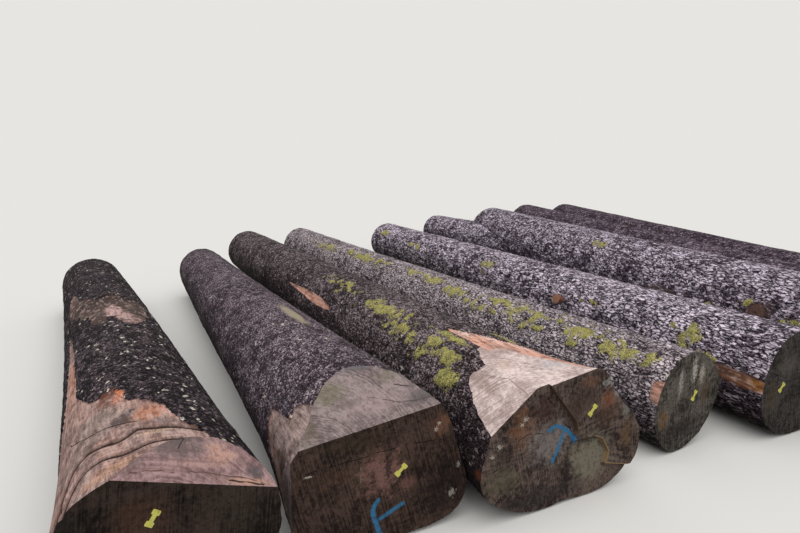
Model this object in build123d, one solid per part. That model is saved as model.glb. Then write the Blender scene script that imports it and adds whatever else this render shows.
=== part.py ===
"""A row of felled sawlogs lying side by side on level ground.

Millimetres. +Y runs along the logs from their butts to their top ends, +X goes to the right
across the row as seen from the butts, and +Z is up. The origin is the centre of the row's
footprint, on the ground.
"""

import math
import os
from dataclasses import dataclass

from build123d import *

os.makedirs("parts", exist_ok=True)

# Lengths that sawlogs are sold in, and the extra that is left on for trimming
SHORT_LENGTH = 4000
LONG_LENGTH = 5000
TRIM_ALLOWANCE = 100

# Clearance of logs that lie against each other, and the slices that the row's gaps are measured at
CONTACT_GAP = 1.15
SLICE_STEP = 4
SLICE_GROWTH = 1.5

# Root flares fade out along the log, and each spreads over part of its girth
FLARE_REACH = 430
FLARE_SPREAD = 24

# Stations along a log: a few close together in the flare, then even steps to the top end
FLARE_STATIONS = (0.0, 0.25, 0.6, 1.1, 1.9)
STEM_STEPS = 5
GIRTH_SIDES = 36

# The forester's number plates: a plastic tag with two wide ends, knocked flat onto the butt
PLATE_LENGTH = 56
PLATE_END = 25
PLATE_WAIST = 13
PLATE_THICKNESS = 2
PLATE_END_SHARE = 0.3

# Holding wood of the third log, torn and sawn in two levels
STEP_DEPTH = 18

# The forked log: its second stem runs on past the sawn end of the first, just clear of the ground
FORK_BACK = 900
FORK_REACH = 950
FORK_TURN = 10
FORK_SHIFT = 60
FORK_LIFT = 15
FORK_BUTT_SHARE = 0.8
FORK_TOP_SHARE = 0.68

# A cut branch is this much thicker at its foot
STUB_SPREAD = 1.3


@dataclass(frozen=True)
class Bevel:
    """A flat cut across the edge of a butt, left by the felling notch or by trimming.

    toward is the direction round the log that it faces, 0 to the right and 90 up. offset is
    how far from the log's axis it meets the butt, and slope is its angle to the axis.
    """

    toward: float
    offset: float
    slope: float


@dataclass(frozen=True)
class Flare:
    """A root's swelling at the butt: where it lies round the log and how far it stands out."""

    toward: float
    height: float


@dataclass(frozen=True)
class Stub:
    """A branch cut off close: its place along and round the log, radius and height."""

    along: float
    toward: float
    radius: float
    height: float


@dataclass(frozen=True)
class Sawlog:
    """One log of the row.

    gap is the clear room to the log on its left at their nearest point, and butt_at how far
    back its butt lies. heading turns it away from +Y, to the left as seen from its butt. bow is
    its bend to the right, and oval its share out of round, widest in oval_toward.
    """

    name: str
    length: float
    butt_radius: float
    top_radius: float
    gap: float
    butt_at: float
    heading: float
    bow: float
    oval: float
    oval_toward: float
    flares: tuple = ()
    bevels: tuple = ()
    stubs: tuple = ()
    plate: tuple = ()


SAWLOGS = (
    Sawlog(
        "log_1", SHORT_LENGTH + TRIM_ALLOWANCE, butt_radius=318, top_radius=235,
        gap=0, butt_at=60, heading=1.4, bow=18, oval=0.02, oval_toward=20,
        flares=(Flare(145, 30), Flare(172, 24), Flare(22, 26), Flare(345, 20), Flare(212, 40)),
        bevels=(Bevel(toward=70.5, offset=203, slope=40),),
        plate=(114, 124, 55),
    ),
    Sawlog(
        "log_2", SHORT_LENGTH + TRIM_ALLOWANCE, butt_radius=325, top_radius=222,
        gap=24, butt_at=140, heading=-1.4, bow=-22, oval=0.025, oval_toward=100,
        flares=(Flare(172, 60), Flare(325, 110), Flare(210, 85)),
        bevels=(Bevel(toward=96, offset=171, slope=31.5), Bevel(toward=180, offset=352, slope=9)),
        plate=(333, 83, 40),
    ),
    Sawlog(
        "log_3", LONG_LENGTH + TRIM_ALLOWANCE, butt_radius=305, top_radius=222,
        gap=CONTACT_GAP, butt_at=0, heading=-0.8, bow=25, oval=0.02, oval_toward=60,
        flares=(Flare(352, 190), Flare(324, 140), Flare(40, 85), Flare(205, 40)),
        bevels=(Bevel(toward=126, offset=234, slope=8), Bevel(toward=97, offset=252, slope=3.2)),
        plate=(24, 243, 50),
    ),
    Sawlog(
        "log_4", LONG_LENGTH + TRIM_ALLOWANCE, butt_radius=246, top_radius=208,
        gap=215, butt_at=80, heading=2.6, bow=-30, oval=0.03, oval_toward=70,
        flares=(Flare(10, 26), Flare(250, 15)),
        plate=(17, 56, 60),
    ),
    Sawlog(
        "log_5", LONG_LENGTH + TRIM_ALLOWANCE, butt_radius=284, top_radius=213,
        gap=100, butt_at=-80, heading=-2.4, bow=24, oval=0.02, oval_toward=40,
        flares=(Flare(120, 14), Flare(300, 30)),
        stubs=(Stub(2611, 157, 30, 10), Stub(1607, 159, 36, 12)),
        plate=(182, 128, 50),
    ),
    Sawlog(
        "log_6", LONG_LENGTH + TRIM_ALLOWANCE, butt_radius=352, top_radius=298,
        gap=CONTACT_GAP, butt_at=-560, heading=-9.6, bow=-20, oval=0.025, oval_toward=80,
        flares=(Flare(200, 40), Flare(330, 50)),
        stubs=(Stub(930, 163, 60, 9),),
    ),
    Sawlog(
        "log_7", LONG_LENGTH + TRIM_ALLOWANCE, butt_radius=300, top_radius=248,
        gap=1.5, butt_at=380, heading=-14.6, bow=20, oval=0.02, oval_toward=30,
        flares=(Flare(190, 25), Flare(320, 40)),
        stubs=(Stub(2574, 100, 34, 12),),
    ),
    Sawlog(
        "log_8", LONG_LENGTH + TRIM_ALLOWANCE, butt_radius=282, top_radius=248,
        gap=CONTACT_GAP, butt_at=240, heading=-14.8, bow=-18, oval=0.03, oval_toward=0,
        flares=(Flare(170, 20), Flare(300, 35)),
    ),
)
FORKED_LOG = "log_6"
STEPPED_LOG = "log_3"

# Corners of the step on the third log's butt, as points right of and above its axis
STEP_LINE = ((-15, 330), (-5, 250), (141, 62), (150, 20), (131, -18), (250, -26), (292, -46),
             (337, -120), (322, -172), (454, -212), (640, -225))


def around(toward, distance, along=0.0):
    """The point at that distance from a log's axis, with the axis along +Y."""
    angle = math.radians(toward)
    return Vector(distance * math.cos(angle), along, distance * math.sin(angle))


def girth_radius(log, share, along, toward):
    """The radius under the bark in one direction at one station."""
    radius = log.butt_radius + (log.top_radius - log.butt_radius) * share
    radius *= 1 + log.oval * math.cos(2 * math.radians(toward - log.oval_toward))
    for flare in log.flares:
        away = (toward - flare.toward + 180) % 360 - 180
        swell = math.exp(-((away / FLARE_SPREAD) ** 2))
        radius += flare.height * swell * math.exp(-along / FLARE_REACH)
    return radius


def rim(log, along):
    """Points round a log at one station, about its axis."""
    share = along / log.length
    turns = [360 * side / GIRTH_SIDES for side in range(GIRTH_SIDES)]
    return [around(turn, girth_radius(log, share, along, turn), along) for turn in turns]


def axis_height(log, along=0.0):
    """How high a log's axis lies at one station, with the log's underside on the ground."""
    return -min(point.Z for point in rim(log, along))


def girth(log, along):
    """The outline of a log at one station, on the ground and bowed sideways."""
    sideways = log.bow * math.sin(math.pi * along / log.length)
    shift = Vector(sideways, 0, axis_height(log, along))
    return [point + shift for point in rim(log, along)]


def stations(log):
    """Distances from the butt at which a log's girth is given."""
    flare = [FLARE_REACH * station for station in FLARE_STATIONS]
    step = (log.length - flare[-1]) / STEM_STEPS
    return flare + [flare[-1] + step * count for count in range(1, STEM_STEPS + 1)]


def stem(log):
    """The log before its butt is trimmed: a loft through its girths."""
    outlines = [Wire(Polyline(*girth(log, along), close=True).edges()) for along in stations(log)]
    return Solid.make_loft(outlines, ruled=True)


def trimmed(solid, log, bevel):
    """The log without the wood outside one bevel."""
    middle = Vector(0, 0, axis_height(log))
    outward = around(bevel.toward, math.cos(math.radians(bevel.slope)))
    normal = outward - Vector(0, math.sin(math.radians(bevel.slope)), 0)
    cut = Plane(origin=middle + around(bevel.toward, bevel.offset), z_dir=normal)
    return split(solid, bisect_by=cut, keep=Keep.BOTTOM)


def stepped(solid, log):
    """The log with the part of its butt left of and below the step line set back."""
    outside = 2 * log.butt_radius
    corners = list(STEP_LINE) + [(outside * 1.5, -outside), (-outside, -outside), (-outside, outside)]
    face = Plane(origin=(0, 0, axis_height(log)), x_dir=(1, 0, 0), z_dir=(0, -1, 0))
    region = make_face(face * Polyline(*corners, close=True))
    return solid - extrude(region, amount=STEP_DEPTH, dir=(0, 1, 0))


def stub(log, knot):
    """A branch's sawn stub, rooted in the stem."""
    share = knot.along / log.length
    radius = girth_radius(log, share, knot.along, knot.toward)
    centre = Vector(log.bow * math.sin(math.pi * share), 0, girth_radius(log, share, knot.along, 270))
    foot = centre + around(knot.toward, radius - 2 * knot.radius, knot.along)
    plane = Plane(origin=foot, z_dir=around(knot.toward, 1))
    return plane * Cone(STUB_SPREAD * knot.radius, knot.radius, 2 * knot.radius + knot.height,
                        align=(Align.CENTER, Align.CENTER, Align.MIN))


def fork(log):
    """The second stem of the forked log, from inside the first to past its sawn end."""
    start = log.length - FORK_BACK
    reach = FORK_BACK + FORK_REACH
    leg = Sawlog(
        "leg", reach, butt_radius=FORK_BUTT_SHARE * log.top_radius, top_radius=FORK_TOP_SHARE * log.top_radius,
        gap=0, butt_at=0, heading=0, bow=0, oval=0.02, oval_toward=0,
    )
    return Pos(-FORK_SHIFT, start, FORK_LIFT) * Rot(0, 0, FORK_TURN) * stem(leg)


def sawlog(log):
    """One log in its own frame, its butt's axis over the origin and its underside on the ground."""
    solid = stem(log)
    if log.name == FORKED_LOG:
        solid = solid + fork(log)
    for knot in log.stubs:
        solid = solid + stub(log, knot)
    for bevel in log.bevels:
        solid = trimmed(solid, log, bevel)
    if log.name == STEPPED_LOG:
        solid = stepped(solid, log)
    return solid


def number_plate(log):
    """The blank tag on a log's butt, flat against the wood."""
    toward, distance, turn = log.plate
    waist_length = PLATE_LENGTH * (1 - 2 * PLATE_END_SHARE)
    middle = Rectangle(waist_length + PLATE_END_SHARE * PLATE_END, PLATE_WAIST)
    end = RectangleRounded(PLATE_LENGTH * PLATE_END_SHARE, PLATE_END, PLATE_WAIST / 4)
    reach = (PLATE_LENGTH - PLATE_LENGTH * PLATE_END_SHARE) / 2
    outline = middle + Pos(reach, 0) * end + Pos(-reach, 0) * end
    place = Vector(0, 0, axis_height(log)) + around(toward, distance)
    face = Plane(origin=place, x_dir=around(turn, 1), z_dir=(0, -1, 0))
    return face * extrude(outline, amount=PLATE_THICKNESS)


def turned(point, heading):
    """A point turned about the vertical through the origin."""
    return point.rotate(Axis.Z, heading)


def ridges(log, across):
    """The lines along a log through the corners of its girths, where it lies in the row."""
    place = Vector(across, log.butt_at, 0)
    girths = [girth(log, along) for along in stations(log)]
    lines = zip(*girths)
    return [[turned(point, log.heading) + place for point in line] for line in lines]


def crossing(line, along_row):
    """Where one ridge passes a distance along the row, as (across, height), or None."""
    for near, far in zip(line, line[1:]):
        if near.Y <= along_row <= far.Y:
            share = (along_row - near.Y) / (far.Y - near.Y)
            return near.X + (far.X - near.X) * share, near.Z + (far.Z - near.Z) * share
    return None


def side_at(outline, height, pick):
    """The outermost place where a slice's outline passes one height, or None."""
    places = []
    for start, end in zip(outline, outline[1:] + outline[:1]):
        if start and end and start[1] != end[1]:
            share = (height - start[1]) / (end[1] - start[1])
            if 0 <= share <= 1:
                places.append(start[0] + (end[0] - start[0]) * share)
    return pick(places) if places else None


def room_between(left_lines, right_lines):
    """The narrowest level gap between two logs' ridges; negative where they would overlap."""
    both = (left_lines, right_lines)
    nearest = max(min(line[0].Y for line in lines) for lines in both)
    farthest = min(max(line[-1].Y for line in lines) for lines in both)
    narrowest = math.inf
    along_row = nearest
    count = 0
    while along_row < farthest:
        left = [crossing(line, along_row) for line in left_lines]
        right = [crossing(line, along_row) for line in right_lines]
        for height in [place[1] for place in left + right if place]:
            left_side = side_at(left, height, max)
            right_side = side_at(right, height, min)
            if left_side is not None and right_side is not None:
                narrowest = min(narrowest, right_side - left_side)
        count += 1
        along_row = nearest + SLICE_STEP * count ** SLICE_GROWTH
    return narrowest


def row():
    """Every piece of the row by name, each log laid up to the one on its left."""
    pieces = {}
    across = 0.0
    previous = None
    for log in SAWLOGS:
        if previous:
            room = room_between(ridges(previous, across), ridges(log, across))
            across += log.gap - room
        place = Pos(across, log.butt_at, 0) * Rot(0, 0, log.heading)
        pieces[log.name] = place * sawlog(log)
        if log.plate:
            pieces[log.name.replace("log", "plate")] = place * number_plate(log)
        previous = log
    return pieces


def centred(pieces):
    """The pieces with the middle of their footprint at the origin."""
    box = Compound(list(pieces.values())).bounding_box()
    middle = box.center()
    shift = Pos(-middle.X, -middle.Y, -box.min.Z)
    return {name: shift * piece for name, piece in pieces.items()}


for name, piece in centred(row()).items():
    export_step(piece, f"parts/{name}.step")
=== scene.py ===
"""Dresses a row of felled sawlogs: bark, sawn butts, peeled wood, moss and number plates.

Metres. A log's own frame has its butt's axis over the origin: X to the right as seen from the
butt, Y along the log and Z up from the ground. Directions round a log are in degrees, 0 to the
right and 90 up.
"""
import itertools
import math
from dataclasses import dataclass

import bpy
import numpy as np
from bpy.props import FloatProperty, FloatVectorProperty, PointerProperty
from mathutils import Matrix, Vector


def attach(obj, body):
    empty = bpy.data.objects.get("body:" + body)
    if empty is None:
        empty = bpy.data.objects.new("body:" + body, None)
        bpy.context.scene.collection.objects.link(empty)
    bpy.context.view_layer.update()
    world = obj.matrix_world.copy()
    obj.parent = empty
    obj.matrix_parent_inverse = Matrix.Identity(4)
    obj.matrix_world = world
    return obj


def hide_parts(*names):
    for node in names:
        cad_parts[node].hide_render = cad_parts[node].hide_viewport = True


bl_info = {
    "name": "Row of sawlogs",
    "version": (1, 0, 0),
    "blender": (4, 5, 0),
    "location": "View3D > Sidebar > Sawlogs",
    "description": "Barked sawlogs with sawn butts, peeled wood, moss and number plates",
    "category": "Object",
}

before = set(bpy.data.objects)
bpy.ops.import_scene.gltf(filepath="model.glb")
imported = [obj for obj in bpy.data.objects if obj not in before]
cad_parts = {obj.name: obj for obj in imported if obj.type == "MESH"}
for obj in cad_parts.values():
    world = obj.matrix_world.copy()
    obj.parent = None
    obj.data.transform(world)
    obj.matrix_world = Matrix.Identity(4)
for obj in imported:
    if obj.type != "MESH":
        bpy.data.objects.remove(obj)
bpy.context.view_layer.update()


def shade(red, green, blue):
    """A colour read as 0 to 255 screen values, in the linear values that shaders take."""
    parts = np.array((red, green, blue)) / 255
    curved = ((parts + 0.055) / 1.055) ** 2.4
    return tuple(np.where(parts <= 0.04045, parts / 12.92, curved).tolist())


# Form of a log, as its CAD node has it
FLARE_REACH = 0.43
FLARE_SPREAD = 24
GIRTH_TURNS = np.arange(0, 360, 10)
STEP_DEPTH = 0.018
STEP_LINE = ((-0.015, 0.33), (-0.005, 0.25), (0.141, 0.062), (0.15, 0.02), (0.131, -0.018),
             (0.25, -0.026), (0.292, -0.046), (0.337, -0.12), (0.322, -0.172), (0.454, -0.212),
             (0.64, -0.225))
FORK_BACK = 0.9
FORK_REACH = 0.95
FORK_TURN = 10
FORK_SHIFT = 0.06
FORK_LIFT = 0.015
FORK_BUTT_SHARE = 0.8
FORK_TOP_SHARE = 0.68

# Mesh of a log: it runs past its cuts, and its rings lie closer together towards the butt
OVERRUN = 0.012
NEAR_SHARE = 0.55
OFF_GROUND = 0.0005
AXIS_SAMPLES = 160

# What lies on a cut, and which faces look along its normal or across it
AT_END = 1e-3
ON_PLANE = 2e-5
FACING = 0.999
SIDEWAYS = 0.02
BARK_REACH = 0.02

# Block that sets back part of the third butt: its front and its corners beyond the step line
STEP_FRONT = 0.05
STEP_OUTER = ((1.0, -0.7), (-0.8, -0.7), (-0.8, 0.9), (-0.015, 0.9))

# Relief: cells of the random table, sizes of its lumps, and how deep or high each part lies
RUFFLE_CELLS = 32
DRAWN_OUT = (1, 0.45, 1)
LUMP_SIZES = (0.09, 0.045)
RIDGE_SIZES = (0.022, 0.013)
WOOD_LUMPS = 0.3
TORN_DEPTH = 0.004
MOSS_RISE = 0.005
SPLIT_DEPTH = 0.007
SPLIT_REACH = 0.009

# Edge of the bark where it is gone: size, share and seed of its waves, and how far it fades
PEEL_EDGE_NOISE = ((0.07, 1.0, 11), (0.022, 0.4, 31))
PEEL_FADE = 0.06

# Sizes of the moss tufts
TUFT_SIZES = (0.045, 0.022)

# Values kept where no split is near: the distance in split widths and in metres
NO_SPLIT = 60.0
SPLIT_SIGHT = 0.3

# Stub of a branch: sides, widening towards its foot and depth of the foot in the log
KNOT_SIDES = 28
KNOT_SPREAD = 1.3
KNOT_SWELL = 1.15
KNOT_DEPTH = 0.03
KNOT_LUMPS = 0.02
KNOT_ROUGHNESS = 0.0025
KNOT_STEPS = ((0.18, -0.003), (0.3, 0.002))

# Slots of a log's materials, and the names of its sawn faces
BARK_SLOT, BUTT_SLOT, BEVEL_SLOT, TOP_SLOT = range(4)
FACE_NAMES = {BUTT_SLOT: "butt", BEVEL_SLOT: "bevel", TOP_SLOT: "top"}

# Kinds of sockets of the shader groups
VALUE, VECTOR = "NodeSocketFloat", "NodeSocketVector"

# Patterns: fineness and size of the sway of bark plates, saw marks and rings in each metre
PLATE_SWAYS = ((0.55, 1.9), (2.2, 0.75))
SAW_MARKS = (150.0, 150.0, 7.0)
RINGS_A_METRE = 140.0
KNOT_RINGS_A_METRE = 500.0

# Ragged edge of a stain: finer for a small one, between two limits
EDGE_FINENESS = 1.6
COARSEST = 24.0
FINEST = 160.0

# Shine of bark and wood, how strongly a crack shows, and fixed tones
WOOD_SHINE = 0.1
LINE_SHARE = 0.9
# Bark darker near the ground: partly damp, partly painted shade
DAMP_AND_SHADED_BARK = shade(24, 19, 18)
SPLIT_DARK = shade(24, 15, 14)
KNOT_HEART = shade(46, 34, 30)
DIRTY_PLASTIC = shade(120, 116, 60)

# Lamp's tilt about X and Y in degrees, and the width in mm of the camera's sensor
LAMP_TILT = (24, -8)
SENSOR_WIDTH = 36


@dataclass(frozen=True)
class Peel:
    """Bark that is gone. edge gives, round the log, where that starts and ends along it."""

    edge: tuple
    ragged: float = 0.05
    torn: float = 0.0


@dataclass(frozen=True)
class Moss:
    """A mossy patch: its place along and round the log, and its half length and half width."""

    along: float
    toward: float
    length: float
    width: float
    thick: float = 0.6


@dataclass(frozen=True)
class Spot:
    """A stain, tear or painted shadow on a log's flank: its place, half length, half width and
    colour.
    """

    along: float
    toward: float
    length: float
    width: float
    colour: tuple
    share: float = 0.8
    on_bark: bool = True
    ragged: float = 0.35


@dataclass(frozen=True)
class Split:
    """An open split in bare wood through places along and round the log."""

    places: tuple
    width: float = 0.006


@dataclass(frozen=True)
class Knot:
    """The stub of a cut branch: its place, radius and height, and the colour of its cut."""

    along: float
    toward: float
    radius: float
    rise: float
    colour: tuple


@dataclass(frozen=True)
class Trunk:
    """One stem. heading turns it away from +Y, to the left, and bow bends it to the right."""

    name: str
    length: float
    butt_radius: float
    top_radius: float
    heading: float
    bow: float
    oval: float
    oval_toward: float
    rounds: int
    rings: int
    flares: tuple = ()
    bevels: tuple = ()
    peels: tuple = ()
    mosses: tuple = ()
    knots: tuple = ()
    spots: tuple = ()
    splits: tuple = ()
    whole_at_butt: bool = False


ORANGE_TEAR = shade(212, 134, 98)
PALE_TEAR = shade(242, 200, 186)
# Dark stain; on the fifth log also a painted shadow under the bark's edge
DARK_STAIN_AND_SHADE = shade(48, 38, 38)

TRUNKS = (
    Trunk(
        "log_1", 4.1, 0.318, 0.235, heading=1.4, bow=0.018, oval=0.02, oval_toward=20,
        rounds=200, rings=340,
        flares=((145, 0.03), (172, 0.024), (22, 0.026), (345, 0.02), (212, 0.04)),
        bevels=((70.5, 0.203, 40),),
        peels=(
            Peel(((56, -1, -0.1), (60, -1, 0.14), (66, -1, 0.18), (74, -1, 0.25), (80, -1, 0.42),
                  (88, -1, 0.47), (101, -1, 0.53), (106, -1, 0.6), (112, -1, 0.7), (118, -1, 0.66),
                  (126, -1, 0.72), (135, -1, 0.81), (141, -1, 0.9), (145, -1, 1.9), (150, -1, 1.98),
                  (154, -1, 1.5), (158, -1, 0.95), (165, -1, 0.75), (185, -1, 0.5), (205, -1, 0.2),
                  (220, -1, -0.1)), ragged=0.03, torn=0.1),
            Peel(((44, 2.3, 2.2), (49, 1.95, 2.38), (60, 1.72, 2.42), (74, 1.66, 2.42),
                  (90, 1.74, 2.42), (107, 1.8, 2.42), (125, 2.02, 2.58), (136, 2.22, 2.9),
                  (146, 2.3, 2.8), (152, 2.4, 2.3)),
                 ragged=0.12),
        ),
        spots=(
            Spot(2.25, 105, 0.8, 0.45, shade(52, 46, 43), 0.92, on_bark=False),
            Spot(2.38, 92, 0.16, 0.3, shade(40, 34, 32), 0.9, on_bark=False),
            Spot(1.99, 90, 0.2, 0.06, shade(206, 168, 164), 0.8, on_bark=False, ragged=0.7),
            Spot(1.85, 78, 0.14, 0.05, shade(200, 164, 158), 0.7, on_bark=False, ragged=0.7),
            Spot(0.62, 115, 0.11, 0.06, shade(116, 68, 54), 0.85, ragged=0.8),
            Spot(0.61, 107, 0.07, 0.03, ORANGE_TEAR, 0.95, ragged=0.8),
            Spot(0.6, 105, 0.03, 0.012, PALE_TEAR, 0.7, ragged=0.9),
            Spot(1.3, 147, 0.5, 0.03, shade(200, 130, 100), 0.6),
            Spot(0.46, 124, 0.16, 0.11, shade(150, 136, 128), 0.7, on_bark=False),
            Spot(0.37, 90, 0.09, 0.08, shade(204, 138, 108), 0.75, on_bark=False),
            Spot(0.36, 76, 0.1, 0.05, shade(220, 174, 162), 0.75, on_bark=False),
            Spot(0.43, 103, 0.045, 0.035, shade(58, 51, 56), 0.95, on_bark=False),
            Spot(0.39, 109, 0.07, 0.05, shade(76, 69, 70), 0.85, on_bark=False),
            Spot(0.29, 136, 0.1, 0.07, shade(118, 106, 100), 0.6, on_bark=False),
            Spot(0.06, 118, 0.05, 0.12, shade(196, 150, 124), 0.7, on_bark=False),
            Spot(0.2, 88, 0.02, 0.1, shade(206, 176, 150), 0.7, on_bark=False),
        ),
        splits=(
            Split(((-0.02, 152), (0.215, 147), (0.288, 134), (0.263, 122), (0.215, 110),
                   (0.264, 101), (0.235, 93), (0.194, 71), (0.18, 60)), 0.008),
            Split(((-0.02, 146), (0.095, 142), (0.165, 134), (0.168, 122), (0.118, 111),
                   (0.119, 103), (0.13, 95), (0.115, 79)), 0.006),
            Split(((0.5, 146), (0.42, 132), (0.4, 120), (0.36, 108), (0.33, 98)), 0.002),
        ),
    ),
    Trunk(
        "log_2", 4.1, 0.325, 0.222, heading=-1.4, bow=-0.022, oval=0.025, oval_toward=100,
        rounds=200, rings=340,
        flares=((172, 0.06), (325, 0.11), (210, 0.085)),
        bevels=((96, 0.171, 31.5), (180, 0.352, 9)),
        peels=(Peel(((128, -1, -0.1), (134, -1, 0.18), (140, -1, 0.24), (145, -1, 0.25),
                     (148, -1, 0.205), (152, -1, 0.235), (154.5, -1, 0.36), (157, -1, 0.42),
                     (166, -1, 0.42), (178, -1, 0.36),
                     (190, -1, 0.22), (205, -1, 0.05), (212, -1, -0.1)), ragged=0.012, torn=0.1),),
        spots=(
            Spot(1.2, 82, 0.34, 0.042, shade(164, 152, 128), 0.95),
            Spot(1.3, 73, 0.36, 0.014, DARK_STAIN_AND_SHADE, 0.8),
            Spot(0.2, 148, 0.04, 0.02, shade(226, 196, 176), 0.9, ragged=0.9),
            Spot(0.34, 147, 0.12, 0.03, shade(50, 48, 60), 0.5),
            Spot(0.15, 150, 0.34, 0.16, shade(158, 142, 140), 0.75, on_bark=False),
            Spot(0.04, 158, 0.08, 0.06, shade(122, 108, 102), 0.6, on_bark=False),
            # Painted shadow on the lower part of the bare flank
            Spot(0.08, 172, 0.2, 0.06, shade(70, 60, 58), 0.75, on_bark=False),
            Spot(0.0, 178, 0.16, 0.09, shade(34, 29, 31), 0.9, on_bark=False),
        ),
    ),
    Trunk(
        "log_3", 5.1, 0.305, 0.222, heading=-0.8, bow=0.025, oval=0.02, oval_toward=60,
        rounds=200, rings=360,
        flares=((352, 0.19), (324, 0.14), (40, 0.085), (205, 0.04)),
        bevels=((126, 0.234, 8), (97, 0.252, 3.2)),
        peels=(
            Peel(((24, -1, 0.03), (35, -1, 0.26), (51, -1, 0.365), (73, -1, 0.52), (92, -1, 0.72),
                  (97, -1, 0.77), (99, -1, 0.5)), ragged=0.01, torn=1.0),
            Peel(((144, 2.35, 2.25), (146, 2.1, 2.4), (149, 1.99, 2.62), (152, 1.96, 2.85),
                  (154, 1.95, 2.93), (156, 1.97, 2.7), (158, 2.05, 2.45), (160, 2.35, 2.2)),
                 ragged=0.008, torn=1.0),
        ),
        mosses=(
            Moss(0.55, 126, 0.13, 0.05, 0.75), Moss(0.71, 118, 0.07, 0.04, 0.6),
            Moss(1.05, 128, 0.22, 0.06, 0.4), Moss(0.62, 105, 0.2, 0.025, 0.8),
            Moss(0.45, 143, 0.12, 0.06, 0.3), Moss(1.35, 112, 0.35, 0.07, 0.3),
            Moss(0.8, 132, 0.12, 0.05, 0.4), Moss(0.45, 62, 0.25, 0.016, 0.9),
            Moss(2.0, 110, 0.4, 0.06, 0.15),
        ),
        spots=(Spot(0.42, 62, 0.12, 0.05, PALE_TEAR, 0.9, on_bark=False),
               Spot(0.53, 76, 0.14, 0.05, PALE_TEAR, 0.9, on_bark=False),
               Spot(0.66, 90, 0.1, 0.03, shade(250, 220, 204), 0.8, on_bark=False),
               Spot(0.03, 192, 0.05, 0.03, shade(120, 70, 44), 0.8),
               Spot(0.33, 128, 0.2, 0.02, DARK_STAIN_AND_SHADE, 0.5)),
    ),
    Trunk(
        "log_4", 5.1, 0.246, 0.208, heading=2.6, bow=-0.03, oval=0.03, oval_toward=70,
        rounds=160, rings=330,
        flares=((10, 0.026), (250, 0.015)),
        peels=(Peel(((138, -1, -0.1), (146, -1, 0.055), (168, -1, 0.06), (180, -1, -0.1)),
                    ragged=0.02, torn=0.8),),
        mosses=(
            Moss(0.3, 124, 0.17, 0.06, 0.55), Moss(0.445, 120, 0.1, 0.05, 0.45),
            Moss(0.125, 122, 0.06, 0.04, 0.4), Moss(0.66, 95, 0.15, 0.03, 0.5),
            Moss(1.24, 111, 0.2, 0.07, 0.45), Moss(1.46, 128, 0.2, 0.06, 0.3),
            Moss(1.77, 121, 0.2, 0.06, 0.4), Moss(2.21, 113, 0.3, 0.06, 0.4),
            Moss(3.1, 117, 0.5, 0.06, 0.35), Moss(4.05, 125, 0.4, 0.06, 0.3),
            Moss(0.8, 120, 0.5, 0.1, 0.1),
        ),
    ),
    Trunk(
        "log_5", 5.1, 0.284, 0.213, heading=-2.4, bow=0.024, oval=0.02, oval_toward=40,
        rounds=160, rings=330,
        flares=((120, 0.014), (300, 0.03)),
        knots=(Knot(2.611, 157, 0.03, 0.01, shade(116, 104, 100)),
               Knot(1.607, 159, 0.036, 0.012, shade(176, 124, 96))),
        peels=(Peel(((165, 0.3, 0.2), (168, 0.1, 0.3), (173, -0.1, 0.32), (178, -0.1, 0.2),
                     (182, -0.1, 0.08), (185, 0.1, -0.1)), ragged=0.012, torn=0.6),),
        mosses=(
            Moss(0.49, 151, 0.065, 0.1, 0.75), Moss(0.58, 142, 0.05, 0.05, 0.5),
            Moss(0.36, 165, 0.08, 0.03, 0.2), Moss(1.31, 148, 0.12, 0.03, 0.3),
            Moss(2.63, 137, 0.12, 0.05, 0.5), Moss(4.0, 150, 0.2, 0.05, 0.4),
            Moss(4.83, 137, 0.15, 0.05, 0.5),
        ),
        spots=(Spot(0.14, 175, 0.25, 0.05, shade(122, 80, 54), 0.85),
               # Painted shadow under the bark's upper edge along the peel
               Spot(0.2, 167, 0.16, 0.008, DARK_STAIN_AND_SHADE, 0.8),
               Spot(0.03, 175, 0.08, 0.05, shade(174, 118, 60), 0.85, on_bark=False),
               Spot(0.24, 171, 0.1, 0.04, shade(86, 56, 46), 0.7, on_bark=False),
               Spot(1.607, 158, 0.075, 0.04, shade(132, 86, 70), 0.9),
               Spot(1.56, 162, 0.05, 0.03, shade(44, 32, 34), 0.6),
               Spot(2.611, 156, 0.06, 0.03, shade(140, 128, 118), 0.8)),
    ),
    Trunk(
        "log_6", 5.1, 0.352, 0.298, heading=-9.6, bow=-0.02, oval=0.025, oval_toward=80,
        rounds=150, rings=260,
        flares=((200, 0.04), (330, 0.05)),
        knots=(Knot(0.93, 159, 0.06, 0.012, shade(88, 66, 57)),),
        mosses=(
            Moss(0.71, 161, 0.07, 0.04, 0.4), Moss(1.04, 149, 0.06, 0.03, 0.3),
            Moss(1.3, 168, 0.06, 0.03, 0.4), Moss(2.66, 126, 0.1, 0.04, 0.3),
        ),
        spots=(Spot(1.49, 163, 0.03, 0.045, DARK_STAIN_AND_SHADE, 0.85),
               Spot(1.73, 168, 0.2, 0.04, shade(92, 72, 62), 0.6),
               Spot(0.93, 158, 0.12, 0.1, shade(66, 48, 44), 0.85)),
        whole_at_butt=True,
    ),
    Trunk(
        "log_7", 5.1, 0.3, 0.248, heading=-14.6, bow=0.02, oval=0.02, oval_toward=30,
        rounds=110, rings=220,
        flares=((190, 0.025), (320, 0.04)),
        knots=(Knot(2.574, 100, 0.034, 0.012, shade(120, 100, 92)),),
    ),
    Trunk(
        "log_8", 5.1, 0.282, 0.248, heading=-14.8, bow=-0.018, oval=0.03, oval_toward=0,
        rounds=110, rings=220,
        flares=((170, 0.02), (300, 0.035)),
    ),
)
STEPPED, FORKED = "log_3", "log_6"


def around(toward, distance, along=0.0):
    """The point at that distance from a log's axis."""
    angle = math.radians(toward)
    return Vector((distance * math.cos(angle), along, distance * math.sin(angle)))


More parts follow.
